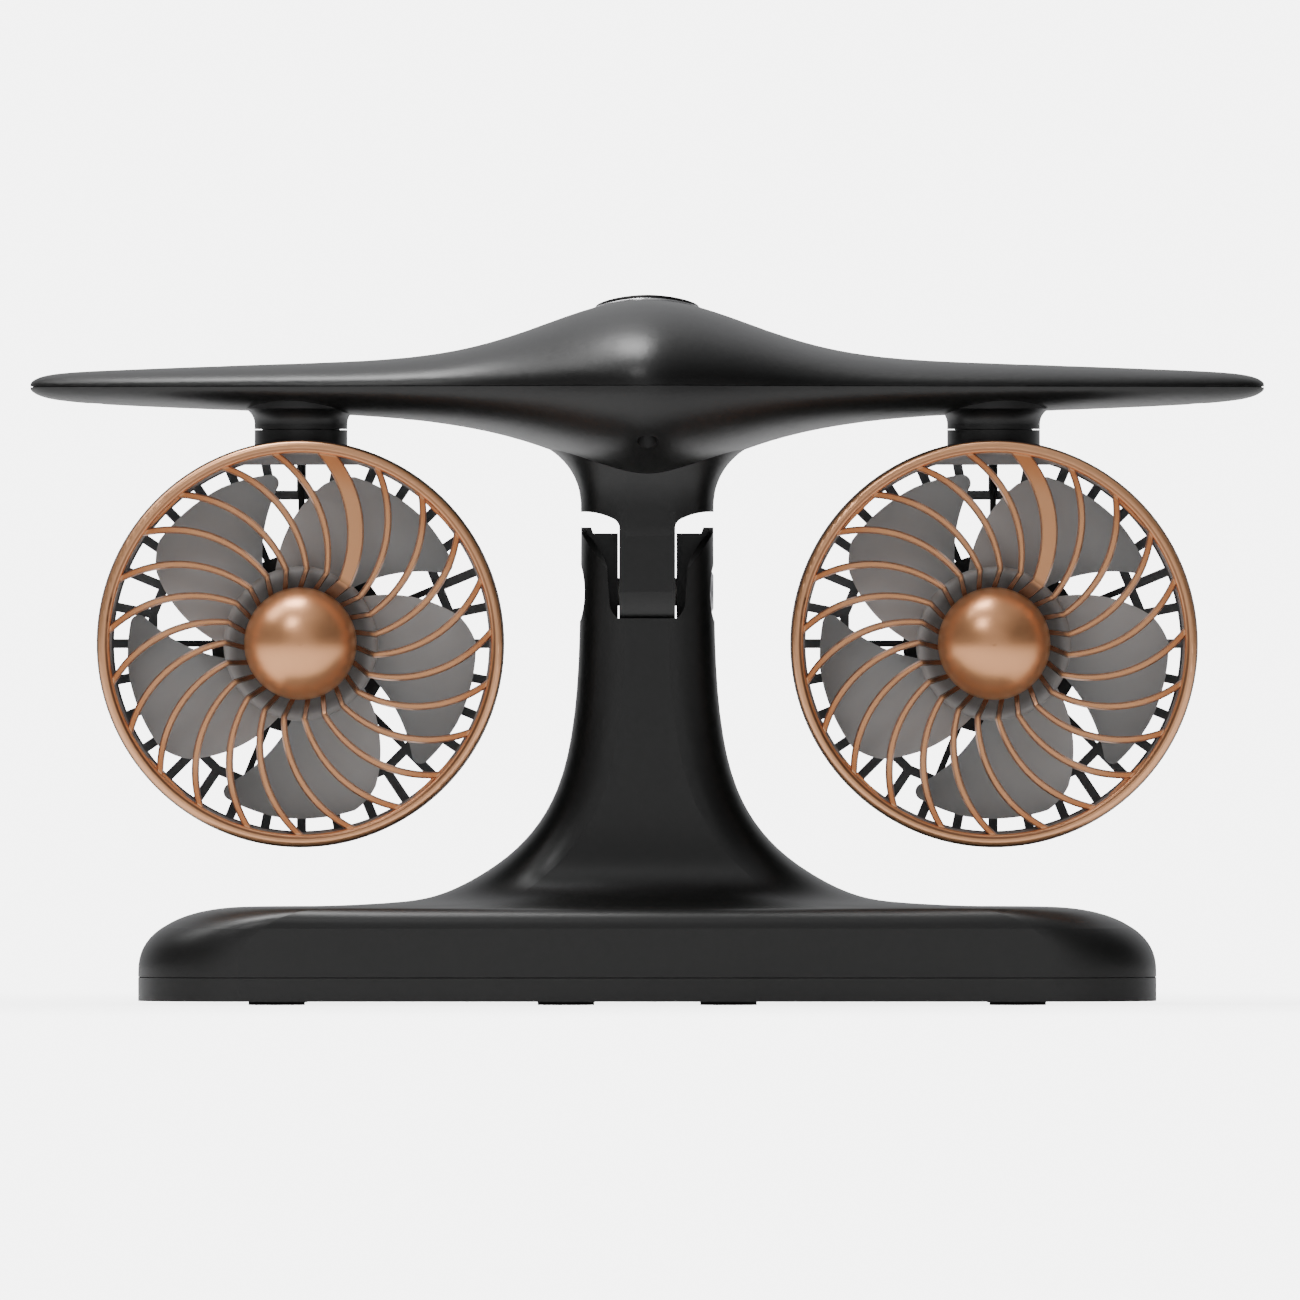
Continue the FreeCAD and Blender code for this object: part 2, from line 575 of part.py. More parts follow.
# Wing: lofts of ellipses whose sizes follow the span
SPANS = (0.06, 0.12, 0.18, 0.24, 0.31, 0.4, 0.55, 0.72, 0.86, 0.93, 0.965, 0.985, 0.995, 0.9985)


def wing_heights(upper, share, x):
    """Height of the wing's half above or below the seam at a share of the span."""
    blunt = "sqrt(1 - %g^edge_bluntness)" % abs(share)
    if upper:
        bulge = "crown_rise*exp(0 - (%s/crown_width)^2)" % x
        root, end, fall = "top_root", "top_tip", "top_fall"
    else:
        bulge = "belly_drop*exp((belly_round - sqrt(%s^2 + belly_round^2))/belly_width)" % x
        root, end, fall = "under_root", "under_tip", "under_fall"
    return "(%s - (%s - %s)*%g^%s)*%s + %s" % (root, root, end, abs(share), fall, blunt, bulge)


def wing_loft(upper, inset="0", reach=None, top_inset=None):
    """Wing and fuselage as a run of ellipses along X, moved in by an inset (out when it is negative)."""
    spans = [s for s in SPANS if not reach or s * number("half_span") < number(reach)]
    sections = []
    for share in [-s for s in reversed(spans)] + [0] + list(spans):
        x = "(%g*half_span)" % share
        blunt = "sqrt(1 - %g^tip_bluntness)" % abs(share)
        chord = "(wing_chord + (tip_chord - wing_chord)*%g)*%s" % (abs(share), blunt)
        chord += " + nose_length*exp(0 - (%s/nose_width)^2)" % x
        ellipse = doc.addObject("Part::Ellipse", "section")
        turn = Rotation(Vector(0, 1, 0), Vector(0, 0, 1), Vector(1, 0, 0), "ZXY")
        ellipse.Placement = Placement(Vector(), turn)
        bind(ellipse, "MajorRadius", "(%s)/2 - %s" % (chord, inset))
        bind(ellipse, "MinorRadius", "%s - %s" % (wing_heights(upper, share, x), top_inset or inset))
        bind(ellipse, "Placement.Base.x", x)
        bind(ellipse, "Placement.Base.y", "wing_sweep*%g^2" % abs(share))
        bind(ellipse, "Placement.Base.z", "seam_height")
        sections.append(ellipse)
    loft = doc.addObject("Part::Loft", "loft")
    loft.Sections = sections
    loft.Solid = True
    doc.recompute()
    return loft


def slab(low, high):
    far, deep = "(half_span + 5)", "(base_half_depth + 5)"
    return block("-" + far, far, "-" + deep, deep, low, high)


def half_space(upper):
    return slab("seam_height", "seam_height + 40") if upper else slab("seam_height - 40", "seam_height")


def seam_groove():
    """Shallow line round the lower shell, just under the seam."""
    core = wing_loft(True, "seam_depth", "half_span*0.997", "0")
    return combined("Cut", [slab("seam_height - seam_gap", "seam_height + 1"), core])


TIP_BACK = "wing_sweep*(tip_screw/half_span)^2"
BELLY_SCREWS = (("0", "-belly_screw"), ("0", "belly_screw"))
TIP_SCREWS = (("-tip_screw", TIP_BACK), ("tip_screw", TIP_BACK))
SCREWS = [(x, y, "belly_head_height", "belly_head", "belly_bite") for x, y in BELLY_SCREWS]
SCREWS += [(x, y, "tip_head_height", "tip_head", "tip_bite") for x, y in TIP_SCREWS]


def build_neck():
    body = new_body("neck")
    levels = [("hinge_height + arch_low - 2", "0"), ("hinge_height + neck_clear", "0")]
    for turn in (0, 18, 33, 46, 58, 68, 76):
        levels.append(("hinge_height + neck_spring + neck_rise*sin(%d)" % turn, "(1 - cos(%d))" % turn))
    sections = []
    for level, out in levels:
        half_x = "neck_half + neck_flare*" + out
        half_y = "ear_radius + neck_front_flare*" + out
        corner = "(stem_corner + neck_corner_flare*%s)" % out
        sections.append(rounded(new_sketch(body, "XY_Plane", level), half_x, half_y, corner))
    lofted(body, "AdditiveLoft", sections)
    # arch on each side, from the tongue out to the edge of the neck
    arch = new_sketch(body, "XZ_Plane")
    foot, edge = "hinge_height + arch_low", "hinge_height + neck_clear"
    low, beyond, spring = foot + " - 4", "(neck_half + 1)", "(tongue_half + arch_reach)"
    for sign, bend in (("-", "+"), ("", "-")):
        outline(arch, [
            (sign + beyond, low), (sign + "tongue_half", low),
            (sign + "tongue_half", foot, bend + "arch_radius"),
            (sign + spring, foot + " + arch_rise", bend + "arch_bow"), (sign + "neck_half", edge),
            (sign + beyond, edge)])
    feature(body, "Pocket", arch, through=True, middle=True)
    # tongue, a plate that ends in a round about the hinge
    plate = new_sketch(body, "YZ_Plane")
    outline(plate, [
        ("-tongue_radius", "hinge_height", "+tongue_radius*1.00001"), ("tongue_radius", "hinge_height"),
        ("tongue_radius", edge), ("-tongue_radius", edge)])
    feature(body, "Pad", plate, "2*tongue_half", middle=True)
    return body


def build_pylon(sign):
    body = new_body("pylon")
    profile = new_sketch(body, "XZ_Plane")
    foot, collar = "pylon_joint + pylon_gap", "pylon_joint + pylon_collar"
    bend = "-(pylon_flare^2 + flare_rise^2)/(2*pylon_flare)"
    outline(profile, [
        ("0", foot), ("pylon_radius", foot), ("pylon_radius", collar, bend),
        ("pylon_radius + pylon_flare", collar + " + flare_rise"),
        ("pylon_radius + pylon_flare", "pylon_joint + pylon_root"), ("0", "pylon_joint + pylon_root")])
    turned(body, "Revolution", profile, "V_Axis")
    bind(body, "Placement.Base.x", sign + "fan_offset")
    return body


def build_wing_lower():
    pylons = [build_pylon(sign) for side, sign in SIDES]
    skin = combined("Cut", [combined("Common", [wing_loft(False), half_space(False)]), seam_groove()])
    solid = combined("MultiFuse", [skin, build_neck()] + pylons)
    hollow = combined("Common", [wing_loft(False, "wing_wall", "cavity_reach"), half_space(False)])
    shell = combined("Cut", [solid, hollow])
    bosses = [cylinder("case_boss_radius", "30", x, y, "seam_height - 30") for x, y in BELLY_SCREWS]
    room = combined("Common", [wing_loft(False, "0.5", "half_span*0.5"), half_space(False)])
    bosses = combined("Common", [combined("MultiFuse", bosses), room])
    added = [shell, bosses]
    cuts = [cylinder("bolt_radius + running_fit", "60", "-30", "0", "hinge_height", ALONG_X),
            cylinder("lead_radius + lead_gap", "60", "0", "lead_offset", "hinge_height - 20")]
    for side, sign in SIDES:
        x = sign + "fan_offset"
        height = "swivel_seat - pylon_joint - 2"
        added.append(cylinder("pylon_radius - 1", height, x, "0", "pylon_joint + 2"))
        cuts.append(cylinder("spigot_radius + running_fit", "20", x, "0", "pylon_joint - 2"))
        cuts.append(cylinder("pylon_lip + pylon_gap", "lip_rise + pylon_gap", x, "0", "pylon_joint"))
        cuts.append(cylinder("clip_radius + clip_room", "6", x, "0", "swivel_seat"))
    for x, y, seat, head, bite in SCREWS:
        cuts.append(cylinder("case_screw_radius", "20", x, y, seat + " - 2"))
        cuts.append(cylinder("case_head_radius", "30", x, y, seat + " - 30"))
    whole = combined("MultiFuse", added)
    finish(combined("Cut", [whole, combined("MultiFuse", cuts)]), "wing_lower_shell")


def build_wing_upper():
    hollow = combined("Common", [wing_loft(True, "wing_wall", "cavity_reach"), half_space(True)])
    shell = combined("Cut", [combined("Common", [wing_loft(True), half_space(True)]), hollow])
    opening = "button_radius + button_gap + ring_width"
    well = cylinder(opening + " + well_wall", "30", "0", "button_back", "well_floor")
    posts = [cylinder("case_boss_radius", "30", x, y, "seam_height") for x, y in BELLY_SCREWS]
    room = wing_loft(True, "0.6", "half_span*0.5")
    inside = combined("Common", [combined("MultiFuse", [well] + posts), room])
    cuts = [cylinder(opening, "30", "0", "button_back", "well_floor + well_base"),
            cylinder("lead_radius + lead_gap", "5", "0", "lead_offset", "well_floor - 1")]
    for x, y, seat, head, bite in SCREWS:
        cuts.append(cylinder("case_screw_radius", bite + " + 5.4", x, y, "seam_height - 5"))
    whole = combined("MultiFuse", [shell, inside])
    finish(combined("Cut", [whole, combined("MultiFuse", cuts)]), "wing_upper_shell")

    screws = []
    for x, y, seat, head, bite in SCREWS:
        shank = cylinder("case_screw_radius", "seam_height - %s + %s" % (seat, bite), x, y, seat)
        top = cylinder("case_head_radius - pocket_gap", head, x, y, "%s - %s" % (seat, head))
        drive = cross_drive(x, y, "1.3", "0.3", seat + " - 3", "%s - %s + 0.5" % (seat, head))
        screws.append(combined("Cut", [combined("MultiFuse", [shank, top]), drive]))
    finish(combined("MultiFuse", screws), "wing_screws")


# Button on the fuselage: bright ring, domed cap, board with a switch
def build_button():
    inner_radius = "button_radius + button_gap"
    foot = "seam_height + ring_foot"
    outer = cylinder(inner_radius + " + ring_width", "30", "0", "button_back", foot)
    inner = cylinder(inner_radius, "30", "0", "button_back", foot)
    tube = combined("Cut", [outer, inner])
    finish(combined("Common", [tube, wing_loft(True, "(-ring_lift)", "half_span*0.35")]), "button_ring")

    floor = "(well_floor + well_base)"
    plunger_top = floor + " + plunger_height"
    disc = cylinder("button_radius", "30", "0", "button_back", "seam_height + button_foot")
    cap = combined("Common", [disc, wing_loft(True, "(-button_lift)", "half_span*0.35")])
    stem = cylinder("stem_radius", "stem_length", "0", "button_back", plunger_top + " + button_travel")
    finish(combined("MultiFuse", [cap, stem]), "power_button")

    card = cylinder("button_board", "card_thickness", "0", "button_back", floor)
    low = floor + " + card_thickness"
    switch = block("-switch_half", "switch_half", "button_back - switch_half", "button_back + switch_half",
                   low, low + " + switch_height")
    plunger = cylinder("plunger_radius", "plunger_height - 0.5", "0", "button_back", floor + " + 0.5")
    finish(combined("MultiFuse", [card, switch, plunger]), "button_board")


# Fan heads
def at_fan(thing, sign):
    bind(thing, "Placement.Base.x", sign + "fan_offset")
    bind(thing, "Placement.Base.z", "fan_height")
    return thing


def polar(radius, angle):
    return "(%s)*cos(%s)" % (radius, angle), "(%s)*sin(%s)" % (radius, angle)


def rib_outline(sketch, start, outer_half, inner_half):
    """One swirling rib: a bow from the ring to the kink, then a short return to the hub."""
    kink = "(%s - rib_sweep)" % start
    last = "(%s - rib_sweep + rib_return)" % start
    rim = "ring_inner + 1"
    hub = "grille_hub - hub_band/2"
    return outline(sketch, [
        polar(rim, "%s + %s" % (start, outer_half)) + ("-rib_bow",),
        polar("rib_kink", "%s + %s" % (kink, inner_half)),
        polar(hub, "%s + %s*1.3" % (last, inner_half)), polar(hub, "%s - %s*1.3" % (last, inner_half)),
        polar("rib_kink", "%s - %s" % (kink, inner_half)) + ("+rib_bow",),
        polar(rim, "%s - %s" % (start, outer_half))])


def drafted_rib(body, start, outer_half, inner_half):
    """Rib whose sides lean in towards the front by the draft."""
    back = new_sketch(body, "XZ_Plane", "rib_front - rib_depth")
    front = new_sketch(body, "XZ_Plane", "rib_front")
    rib_outline(back, start, outer_half, inner_half)
    lean = "(%s - rib_draft/%s*57.3)"
    rib_outline(front, start, lean % (outer_half, "ring_inner"), lean % (inner_half, "rib_kink"))
    return lofted(body, "AdditiveLoft", [back, front])


def build_front_grille(side, sign):
    body = new_body(side + "_grille_body")
    profile = new_sketch(body, "XY_Plane")
    face = "-ring_front"
    outline(profile, [
        ("ring_inner", "-ring_back"), ("ring_inner", face + " + ring_round", "+ring_round*1.00001"),
        ("ring_inner + ring_round", face), ("ring_outer - ring_round", face, "+ring_round*1.00001"),
        ("ring_outer", face + " + ring_round"), ("ring_outer", "-ring_back")])
    turned(body, "Revolution", profile, "V_Axis")
    foot = "rib_front - rib_depth"
    hub = circle(new_sketch(body, "XZ_Plane", foot + " - 1.2"), "0", "0", "grille_hub")
    circle(hub, "0", "0", "grille_hub - hub_band")
    feature(body, "Pad", hub, "cap_face - (%s) + 1.2" % foot)
    # clip tabs inside the ring
    tab = new_sketch(body, "XZ_Plane", "ring_back")
    inner = "(ring_inner - tab_reach)/cos(tab_turn)"
    outline(tab, [polar(inner, "45 - tab_turn"), polar("ring_inner + 1", "45 - tab_turn"),
                  polar("ring_inner + 1", "45 + tab_turn"), polar(inner, "45 + tab_turn")])
    around(body, [feature(body, "Pad", tab, "tab_depth")], "Y_Axis", "4")
    # ribs with drafted sides
    rib = drafted_rib(body, "rib_start", "rib_outer_half", "rib_inner_half")
    around(body, [rib], "Y_Axis", "rib_count")
    drafted_rib(body, "(rib_start - 360/rib_count)", "wide_rib_outer", "wide_rib_inner")
    # dish round the cap, where the ribs run down to the hub
    dish = new_sketch(body, "XY_Plane")
    outline(dish, [
        ("0", "-rib_front - 2"), ("hub_dish", "-rib_front - 2"), ("hub_dish", "-rib_front"),
        ("cap_radius + pocket_gap", "-cap_face"), ("0", "-cap_face")])
    turned(body, "Groove", dish, "V_Axis")
    finish(at_fan(body, sign), side + "_front_grille")

    body = new_body(side + "_cap_body")
    profile = new_sketch(body, "XY_Plane")
    ball = "((cap_radius^2 + cap_rise^2)/(2*cap_rise))"
    bore = "grille_hub - hub_band - seat_gap"
    outline(profile, [
        ("0", "-cap_face - cap_rise", "+" + ball), ("cap_radius", "-cap_face"), (bore, "-cap_face"),
        (bore, "-cap_face + cap_spigot"), ("0", "-cap_face + cap_spigot")])
    turned(body, "Revolution", profile, "V_Axis")
    finish(at_fan(body, sign), side + "_hub_cap")


def build_shroud(side, sign):
    body = new_body(side + "_shroud_body")
    profile = new_sketch(body, "XY_Plane")
    outline(profile, [
        ("shroud_lip", "-ring_back"), ("shroud_outer", "-ring_back"), ("shroud_outer", "-ring_back + 2.4"),
        ("shroud_tail", "shroud_back - shroud_round", "+shroud_round*1.00001"),
        ("shroud_tail - shroud_round", "shroud_back"), ("shroud_inner", "shroud_back"),
        ("shroud_inner", "-ring_back + 2.6"), ("shroud_lip", "-ring_back + 1.4")])
    turned(body, "Revolution", profile, "V_Axis")
    # flat chin inside, under the pylon
    chin = new_sketch(body, "XZ_Plane", "-chin_depth")
    outline(chin, [
        ("-chin_half", "chin_height"), ("chin_half", "chin_height"),
        ("chin_half", "chin_height + 2.4"), ("pylon_radius - 1", "chin_height + 3.4"),
        ("-pylon_radius + 1", "chin_height + 3.4"), ("-chin_half", "chin_height + 2.4")])
    feature(body, "Pad", chin, "2*chin_depth")
    stub = circle(new_sketch(body, "XY_Plane", "chin_height + 1"), "0", "0", "pylon_radius")
    feature(body, "Pad", stub, "pylon_joint - fan_height - chin_height - 1")
    # lip and spigot, with a groove for the clip
    joint, seat = "pylon_joint - fan_height", "swivel_seat - fan_height + seat_gap"
    waist = "spigot_radius - clip_groove"
    spigot = new_sketch(body, "XZ_Plane")
    outline(spigot, [
        ("0", joint + " - 1"), ("pylon_lip", joint + " - 1"), ("pylon_lip", joint + " + lip_rise"),
        ("spigot_radius", joint + " + lip_rise"), ("spigot_radius", seat), (waist, seat),
        (waist, seat + " + clip_thickness"), ("spigot_radius", seat + " + clip_thickness"),
        ("spigot_radius", seat + " + 1.75"), ("spigot_radius - 0.5", seat + " + 2.15"),
        ("0", seat + " + 2.15")])
    turned(body, "Revolution", spigot, "V_Axis")
    bore = circle(new_sketch(body, "XY_Plane", "chin_height - 1"), "0", "0", "spigot_bore")
    feature(body, "Pocket", bore, "20", back=True)
    finish(at_fan(body, sign), side + "_shroud")

    x, level = sign + "fan_offset", "swivel_seat + seat_gap"
    outer = cylinder("clip_radius", "clip_thickness", x, "0", level)
    inner = cylinder(waist, "clip_thickness", x, "0", level)
    mouth = block(x + " - clip_mouth", x + " + clip_mouth", "0", "20", level + " - 1", level + " + 4")
    finish(combined("Cut", [combined("Cut", [outer, inner]), mouth]), side + "_swivel_clip")


def build_rear_grille(side, sign):
    body = new_body(side + "_rear_body")
    profile = new_sketch(body, "XY_Plane")
    rim, depth = "(shroud_inner - seat_gap)", "shroud_back - back_front"
    box_outline(profile, rim + " - back_rim", "back_front", rim, "shroud_back")
    turned(body, "Revolution", profile, "V_Axis")
    # sixteen-sided ring, and the bars outside and inside it
    ring = new_sketch(body, "XZ_Plane", "-shroud_back")
    for shift in ("back_bar", "-back_bar"):
        radius = "(back_ring + %s)/cos(11.25)" % shift
        outline(ring, [polar(radius, "%g" % (11.25 + 22.5 * k)) for k in range(16)])
    feature(body, "Pad", ring, depth)
    bar = new_sketch(body, "XZ_Plane", "-shroud_back")
    box_outline(bar, "-back_bar", "back_ring", "back_bar", rim + " - back_rim/2")
    around(body, [feature(body, "Pad", bar, depth)], "Y_Axis", "32")
    bar = new_sketch(body, "XZ_Plane", "-shroud_back")
    box_outline(bar, "-inner_bar", "back_hub - 1", "inner_bar", "back_ring")
    around(body, [feature(body, "Pad", bar, depth)], "Y_Axis", "16")
    # motor holder
    cup = new_sketch(body, "XY_Plane")
    bore = "motor_radius + seat_gap"
    outline(cup, [
        ("0", "back_front"), (bore, "back_front"), (bore, "cup_front"), (bore + " + cup_wall", "cup_front"),
        (bore + " + cup_wall", "back_front"), ("back_hub + back_bar", "back_front"),
        ("back_hub + back_bar", "shroud_back"), ("0", "shroud_back")])
    turned(body, "Revolution", cup, "V_Axis")
    holes = new_sketch(body, "XZ_Plane", "-shroud_back - 1")
    for x in MOTOR_SCREWS:
        circle(holes, x, "0", "motor_screw + seat_gap")
    feature(body, "Pocket", holes, depth + " + 2", back=True)
    finish(at_fan(body, sign), side + "_rear_grille")

    along = "back_front - motor_lead - lead_gap"
    inner = "motor_radius + seat_gap + cup_wall"
    length = "chin_height - (%s)" % inner
    lead = cylinder("motor_lead", length, sign + "fan_offset", along, "fan_height + " + inner)
    finish(lead, side + "_motor_lead")


MOTOR_SCREWS = ("-motor_screw_across", "motor_screw_across")


def build_motor(side, sign):
    body = new_body(side + "_motor_body")
    profile = new_sketch(body, "XY_Plane")
    outline(profile, [
        ("0", "back_front"), ("motor_radius", "back_front"),
        ("motor_radius", "-motor_front + motor_chamfer"),
        ("motor_radius - motor_chamfer", "-motor_front"), ("motor_neck", "-motor_front"),
        ("motor_neck", "-motor_front - 0.8"), ("0", "-motor_front - 0.8")])
    turned(body, "Revolution", profile, "V_Axis")
    shaft = circle(new_sketch(body, "XZ_Plane", "motor_front + 2"), "0", "0", "shaft_radius + running_fit")
    feature(body, "Pocket", shaft, "motor_front + 2 + shaft_back + 1")
    holes = new_sketch(body, "XZ_Plane", "-back_front")
    for x in MOTOR_SCREWS:
        circle(holes, x, "0", "motor_screw + seat_gap")
    feature(body, "Pocket", holes, "motor_screw_bite + 0.5", back=True)
    finish(at_fan(body, sign), side + "_motor")

    screws = []
    for x in MOTOR_SCREWS:
        body = new_body(side + "_screw_body")
        profile = new_sketch(body, "XY_Plane")
        outline(profile, [
            ("0", "back_front - motor_screw_bite"), ("motor_screw", "back_front - motor_screw_bite"),
            ("motor_screw", "shroud_back"), ("motor_screw_head", "shroud_back"),
            ("motor_screw_head", "shroud_back + 0.9"), ("motor_screw_head - 0.7", "shroud_back + 1.3"),
            ("0", "shroud_back + 1.3")])
        turned(body, "Revolution", profile, "V_Axis")
        slot = new_sketch(body, "XZ_Plane", "-shroud_back - 2")
        box_outline(slot, "-1.2", "-0.25", "1.2", "0.25")
        feature(body, "Pocket", slot, "1.2", back=True)
        bind(body, "Placement.Base.x", x)
        screws.append(body)
    finish(at_fan(combined("MultiFuse", screws), sign), side + "_motor_screws")


# Rotors: five sickle blades cut from a helical sheet, on a cup-shaped hub
def build_blade(side):
    plan = new_body(side + "_blade_body")
    sickle = new_sketch(plan, "XZ_Plane", "-hub_back - 4")
    root = "hub_radius - hub_wall/2"

    def corner(radius, turn, bend):
        return polar(radius, "blade_start + %g" % turn) + (bend,)

    outline(sickle, [
        corner(root, 22, "-blade_hollow"), corner("blade_tip - 3.7", 0.5, "+blade_nose"),
        corner("blade_tip - 0.66", 2.8, "+blade_brow"), corner("blade_tip", 19, "+blade_tip"),
        corner("blade_tip", 46, "+blade_heel"), corner("blade_tip - 3.1", 55.7, "+blade_back"),
        corner(root, 84.5, "-" + root)])
    feature(plan, "Pad", sickle, "hub_front + hub_back + 8")

    edges = []
    for radius in ("hub_radius - 3", "blade_tip + 2"):
        helix = doc.addObject("Part::Helix", "helix")
        bind(helix, "Radius", radius)
        bind(helix, "Pitch", "blade_pitch")
        bind(helix, "Height", "blade_pitch*98/360")
        turn = Rotation(Vector(1, 0, 0), 90).multiply(Rotation(Vector(0, 0, 1), number("blade_start") - 6))
        helix.Placement = Placement(Vector(), turn)
        bind(helix, "Placement.Base.y", "blade_rear + 6*blade_pitch/360")
        edges.append(helix)
    doc.recompute()
    ramp = doc.addObject("Part::RuledSurface", "ramp")
    ramp.Curve1 = (edges[0], ["Edge1"])
    ramp.Curve2 = (edges[1], ["Edge1"])
    doc.recompute()
    thick = doc.addObject("Part::Extrusion", "thick")
    thick.Base = ramp
    thick.DirMode = "Custom"
    thick.Dir = Vector(0, 1, 0)
    bind(thick, "LengthFwd", "blade_thickness")
    thick.Solid = True
    doc.recompute()
    return combined("Common", [thick, plan])


def build_rotor(side, sign):
    body = new_body(side + "_hub_body")
    profile = new_sketch(body, "XY_Plane")
    floor, foot = "-hub_front + hub_wall", "-motor_front - 0.8 - hub_running"
    outline(profile, [
        ("shaft_radius", "-hub_front"), ("hub_radius - hub_round", "-hub_front", "+hub_round*1.00001"),
        ("hub_radius", "-hub_front + hub_round"), ("hub_radius", "hub_back"),
        ("hub_radius - hub_wall", "hub_back"), ("hub_radius - hub_wall", floor),
        ("hub_boss", floor), ("hub_boss", foot), ("shaft_radius", foot)])
    turned(body, "Revolution", profile, "V_Axis")
    blade = build_blade(side)
    blades = []
    for k in range(int(number("blade_count"))):
        copy = doc.addObject("App::Link", "blade")
        copy.LinkedObject = blade
        copy.LinkTransform = True
        copy.Placement = Placement(Vector(), Rotation(Vector(0, 1, 0), k * 360 / number("blade_count")))
        blades.append(copy)
    doc.recompute()
    finish(at_fan(combined("MultiFuse", [body] + blades), sign), side + "_impeller")

    body = new_body(side + "_shaft_body")
    plan = circle(new_sketch(body, "XZ_Plane", "-shaft_back"), "0", "0", "shaft_radius")
    feature(body, "Pad", plan, "shaft_front + shaft_back")
    finish(at_fan(body, sign), side + "_motor_shaft")


build_stand_shell()
build_base()
build_electrics()
build_leads()
build_hinge()
build_wing_lower()
build_wing_upper()
build_button()
for side, sign in SIDES:
    build_shroud(side, sign)
    build_front_grille(side, sign)
    build_rear_grille(side, sign)
    build_motor(side, sign)
    build_rotor(side, sign)
doc.recompute()

# Every object must be sound before its file is written
faults = [thing.Name for thing in doc.Objects if "Invalid" in thing.State or "Error" in thing.State]
faults += [thing.Label for thing in finished if thing.Shape.isNull() or not thing.Shape.isValid()]
if faults:
    raise RuntimeError("unsound: " + ", ".join(faults))
os.makedirs("parts", exist_ok=True)
for thing in finished:
    thing.Shape.exportStep("parts/%s.step" % thing.Label)
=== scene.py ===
import math
import bpy
import bmesh
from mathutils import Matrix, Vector


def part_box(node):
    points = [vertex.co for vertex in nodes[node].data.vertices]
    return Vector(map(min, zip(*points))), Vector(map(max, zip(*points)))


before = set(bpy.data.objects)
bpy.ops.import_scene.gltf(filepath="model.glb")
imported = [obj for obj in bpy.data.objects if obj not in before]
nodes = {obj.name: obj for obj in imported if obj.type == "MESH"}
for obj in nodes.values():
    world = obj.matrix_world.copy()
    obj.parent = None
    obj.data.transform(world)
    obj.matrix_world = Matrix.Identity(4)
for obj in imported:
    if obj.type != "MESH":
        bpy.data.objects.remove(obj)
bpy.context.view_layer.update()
print("frame loaded with", len(nodes), "nodes")


# node helpers
def addNode(tree, kind, options=None, inputs=None):
    node = tree.nodes.new("ShaderNode" + kind)
    for name, value in (options or {}).items():
        setattr(node, name, value)
    for name, value in (inputs or {}).items():
        socket = node.inputs[name]
        if isinstance(value, bpy.types.NodeSocket):
            tree.links.new(value, socket)
        else:
            socket.default_value = value
    return node


def startGroup(name, inputs, outputs):
    group = bpy.data.node_groups.new(name, "ShaderNodeTree")
    for label, value in inputs.items():
        socket = group.interface.new_socket(label, in_out="INPUT", socket_type="NodeSocketFloat")
        socket.default_value = value
    for label in outputs:
        group.interface.new_socket(label, in_out="OUTPUT", socket_type="NodeSocketFloat")
    given = group.nodes.new("NodeGroupInput").outputs
    return group, given, group.nodes.new("NodeGroupOutput").inputs


def mathNode(tree, operation, first, second=0.0, clamp=False):
    options = {"operation": operation, "use_clamp": clamp}
    return addNode(tree, "Math", options, {0: first, 1: second}).outputs[0]


# a value spread from low..high to 0..1
def spanNode(tree, value, low, high):
    made = addNode(tree, "MapRange", {"clamp": True}, {
        "Value": value, "From Min": low, "From Max": high})
    return made.outputs["Result"]


# a value eased from one end at start to the other at full
def easeNode(tree, value, start, full, ends):
    made = addNode(tree, "MapRange", {"clamp": True, "interpolation_type": "SMOOTHSTEP"}, {
        "Value": value, "From Min": start, "From Max": full, "To Min": ends[0], "To Max": ends[1]})
    return made.outputs["Result"]


noiseMiddle = 0.5
white = (1.0, 1.0, 1.0, 1.0)


# fine spark-eroded texture of a moulding tool, with a slow drift in tone
def makeMouldGrain():
    group, given, out = startGroup(
        "mouldGrain", {"Scale": 4000.0, "Drift Scale": 25.0}, ["Height", "Drift"])
    place = addNode(group, "TexCoord").outputs["Object"]
    grain = addNode(group, "TexNoise", {}, {
        "Vector": place, "Scale": given["Scale"], "Detail": 3.0, "Roughness": 0.6})
    drift = addNode(group, "TexNoise", {}, {
        "Vector": place, "Scale": given["Drift Scale"], "Detail": 2.0, "Roughness": 0.5})
    group.links.new(grain.outputs["Fac"], out["Height"])
    group.links.new(drift.outputs["Fac"], out["Drift"])
    return group


# edges: where a rounded normal leaves the true one, broken up by noise; the tone laid on this mask
# is rubbed wear on most finishes, painted shade on the copper, and wear with a painted highlight on
# the grey plastic
edgeWearAndShadingSettings = {"samples": 4, "breakLow": 0.42, "breakHigh": 0.62}


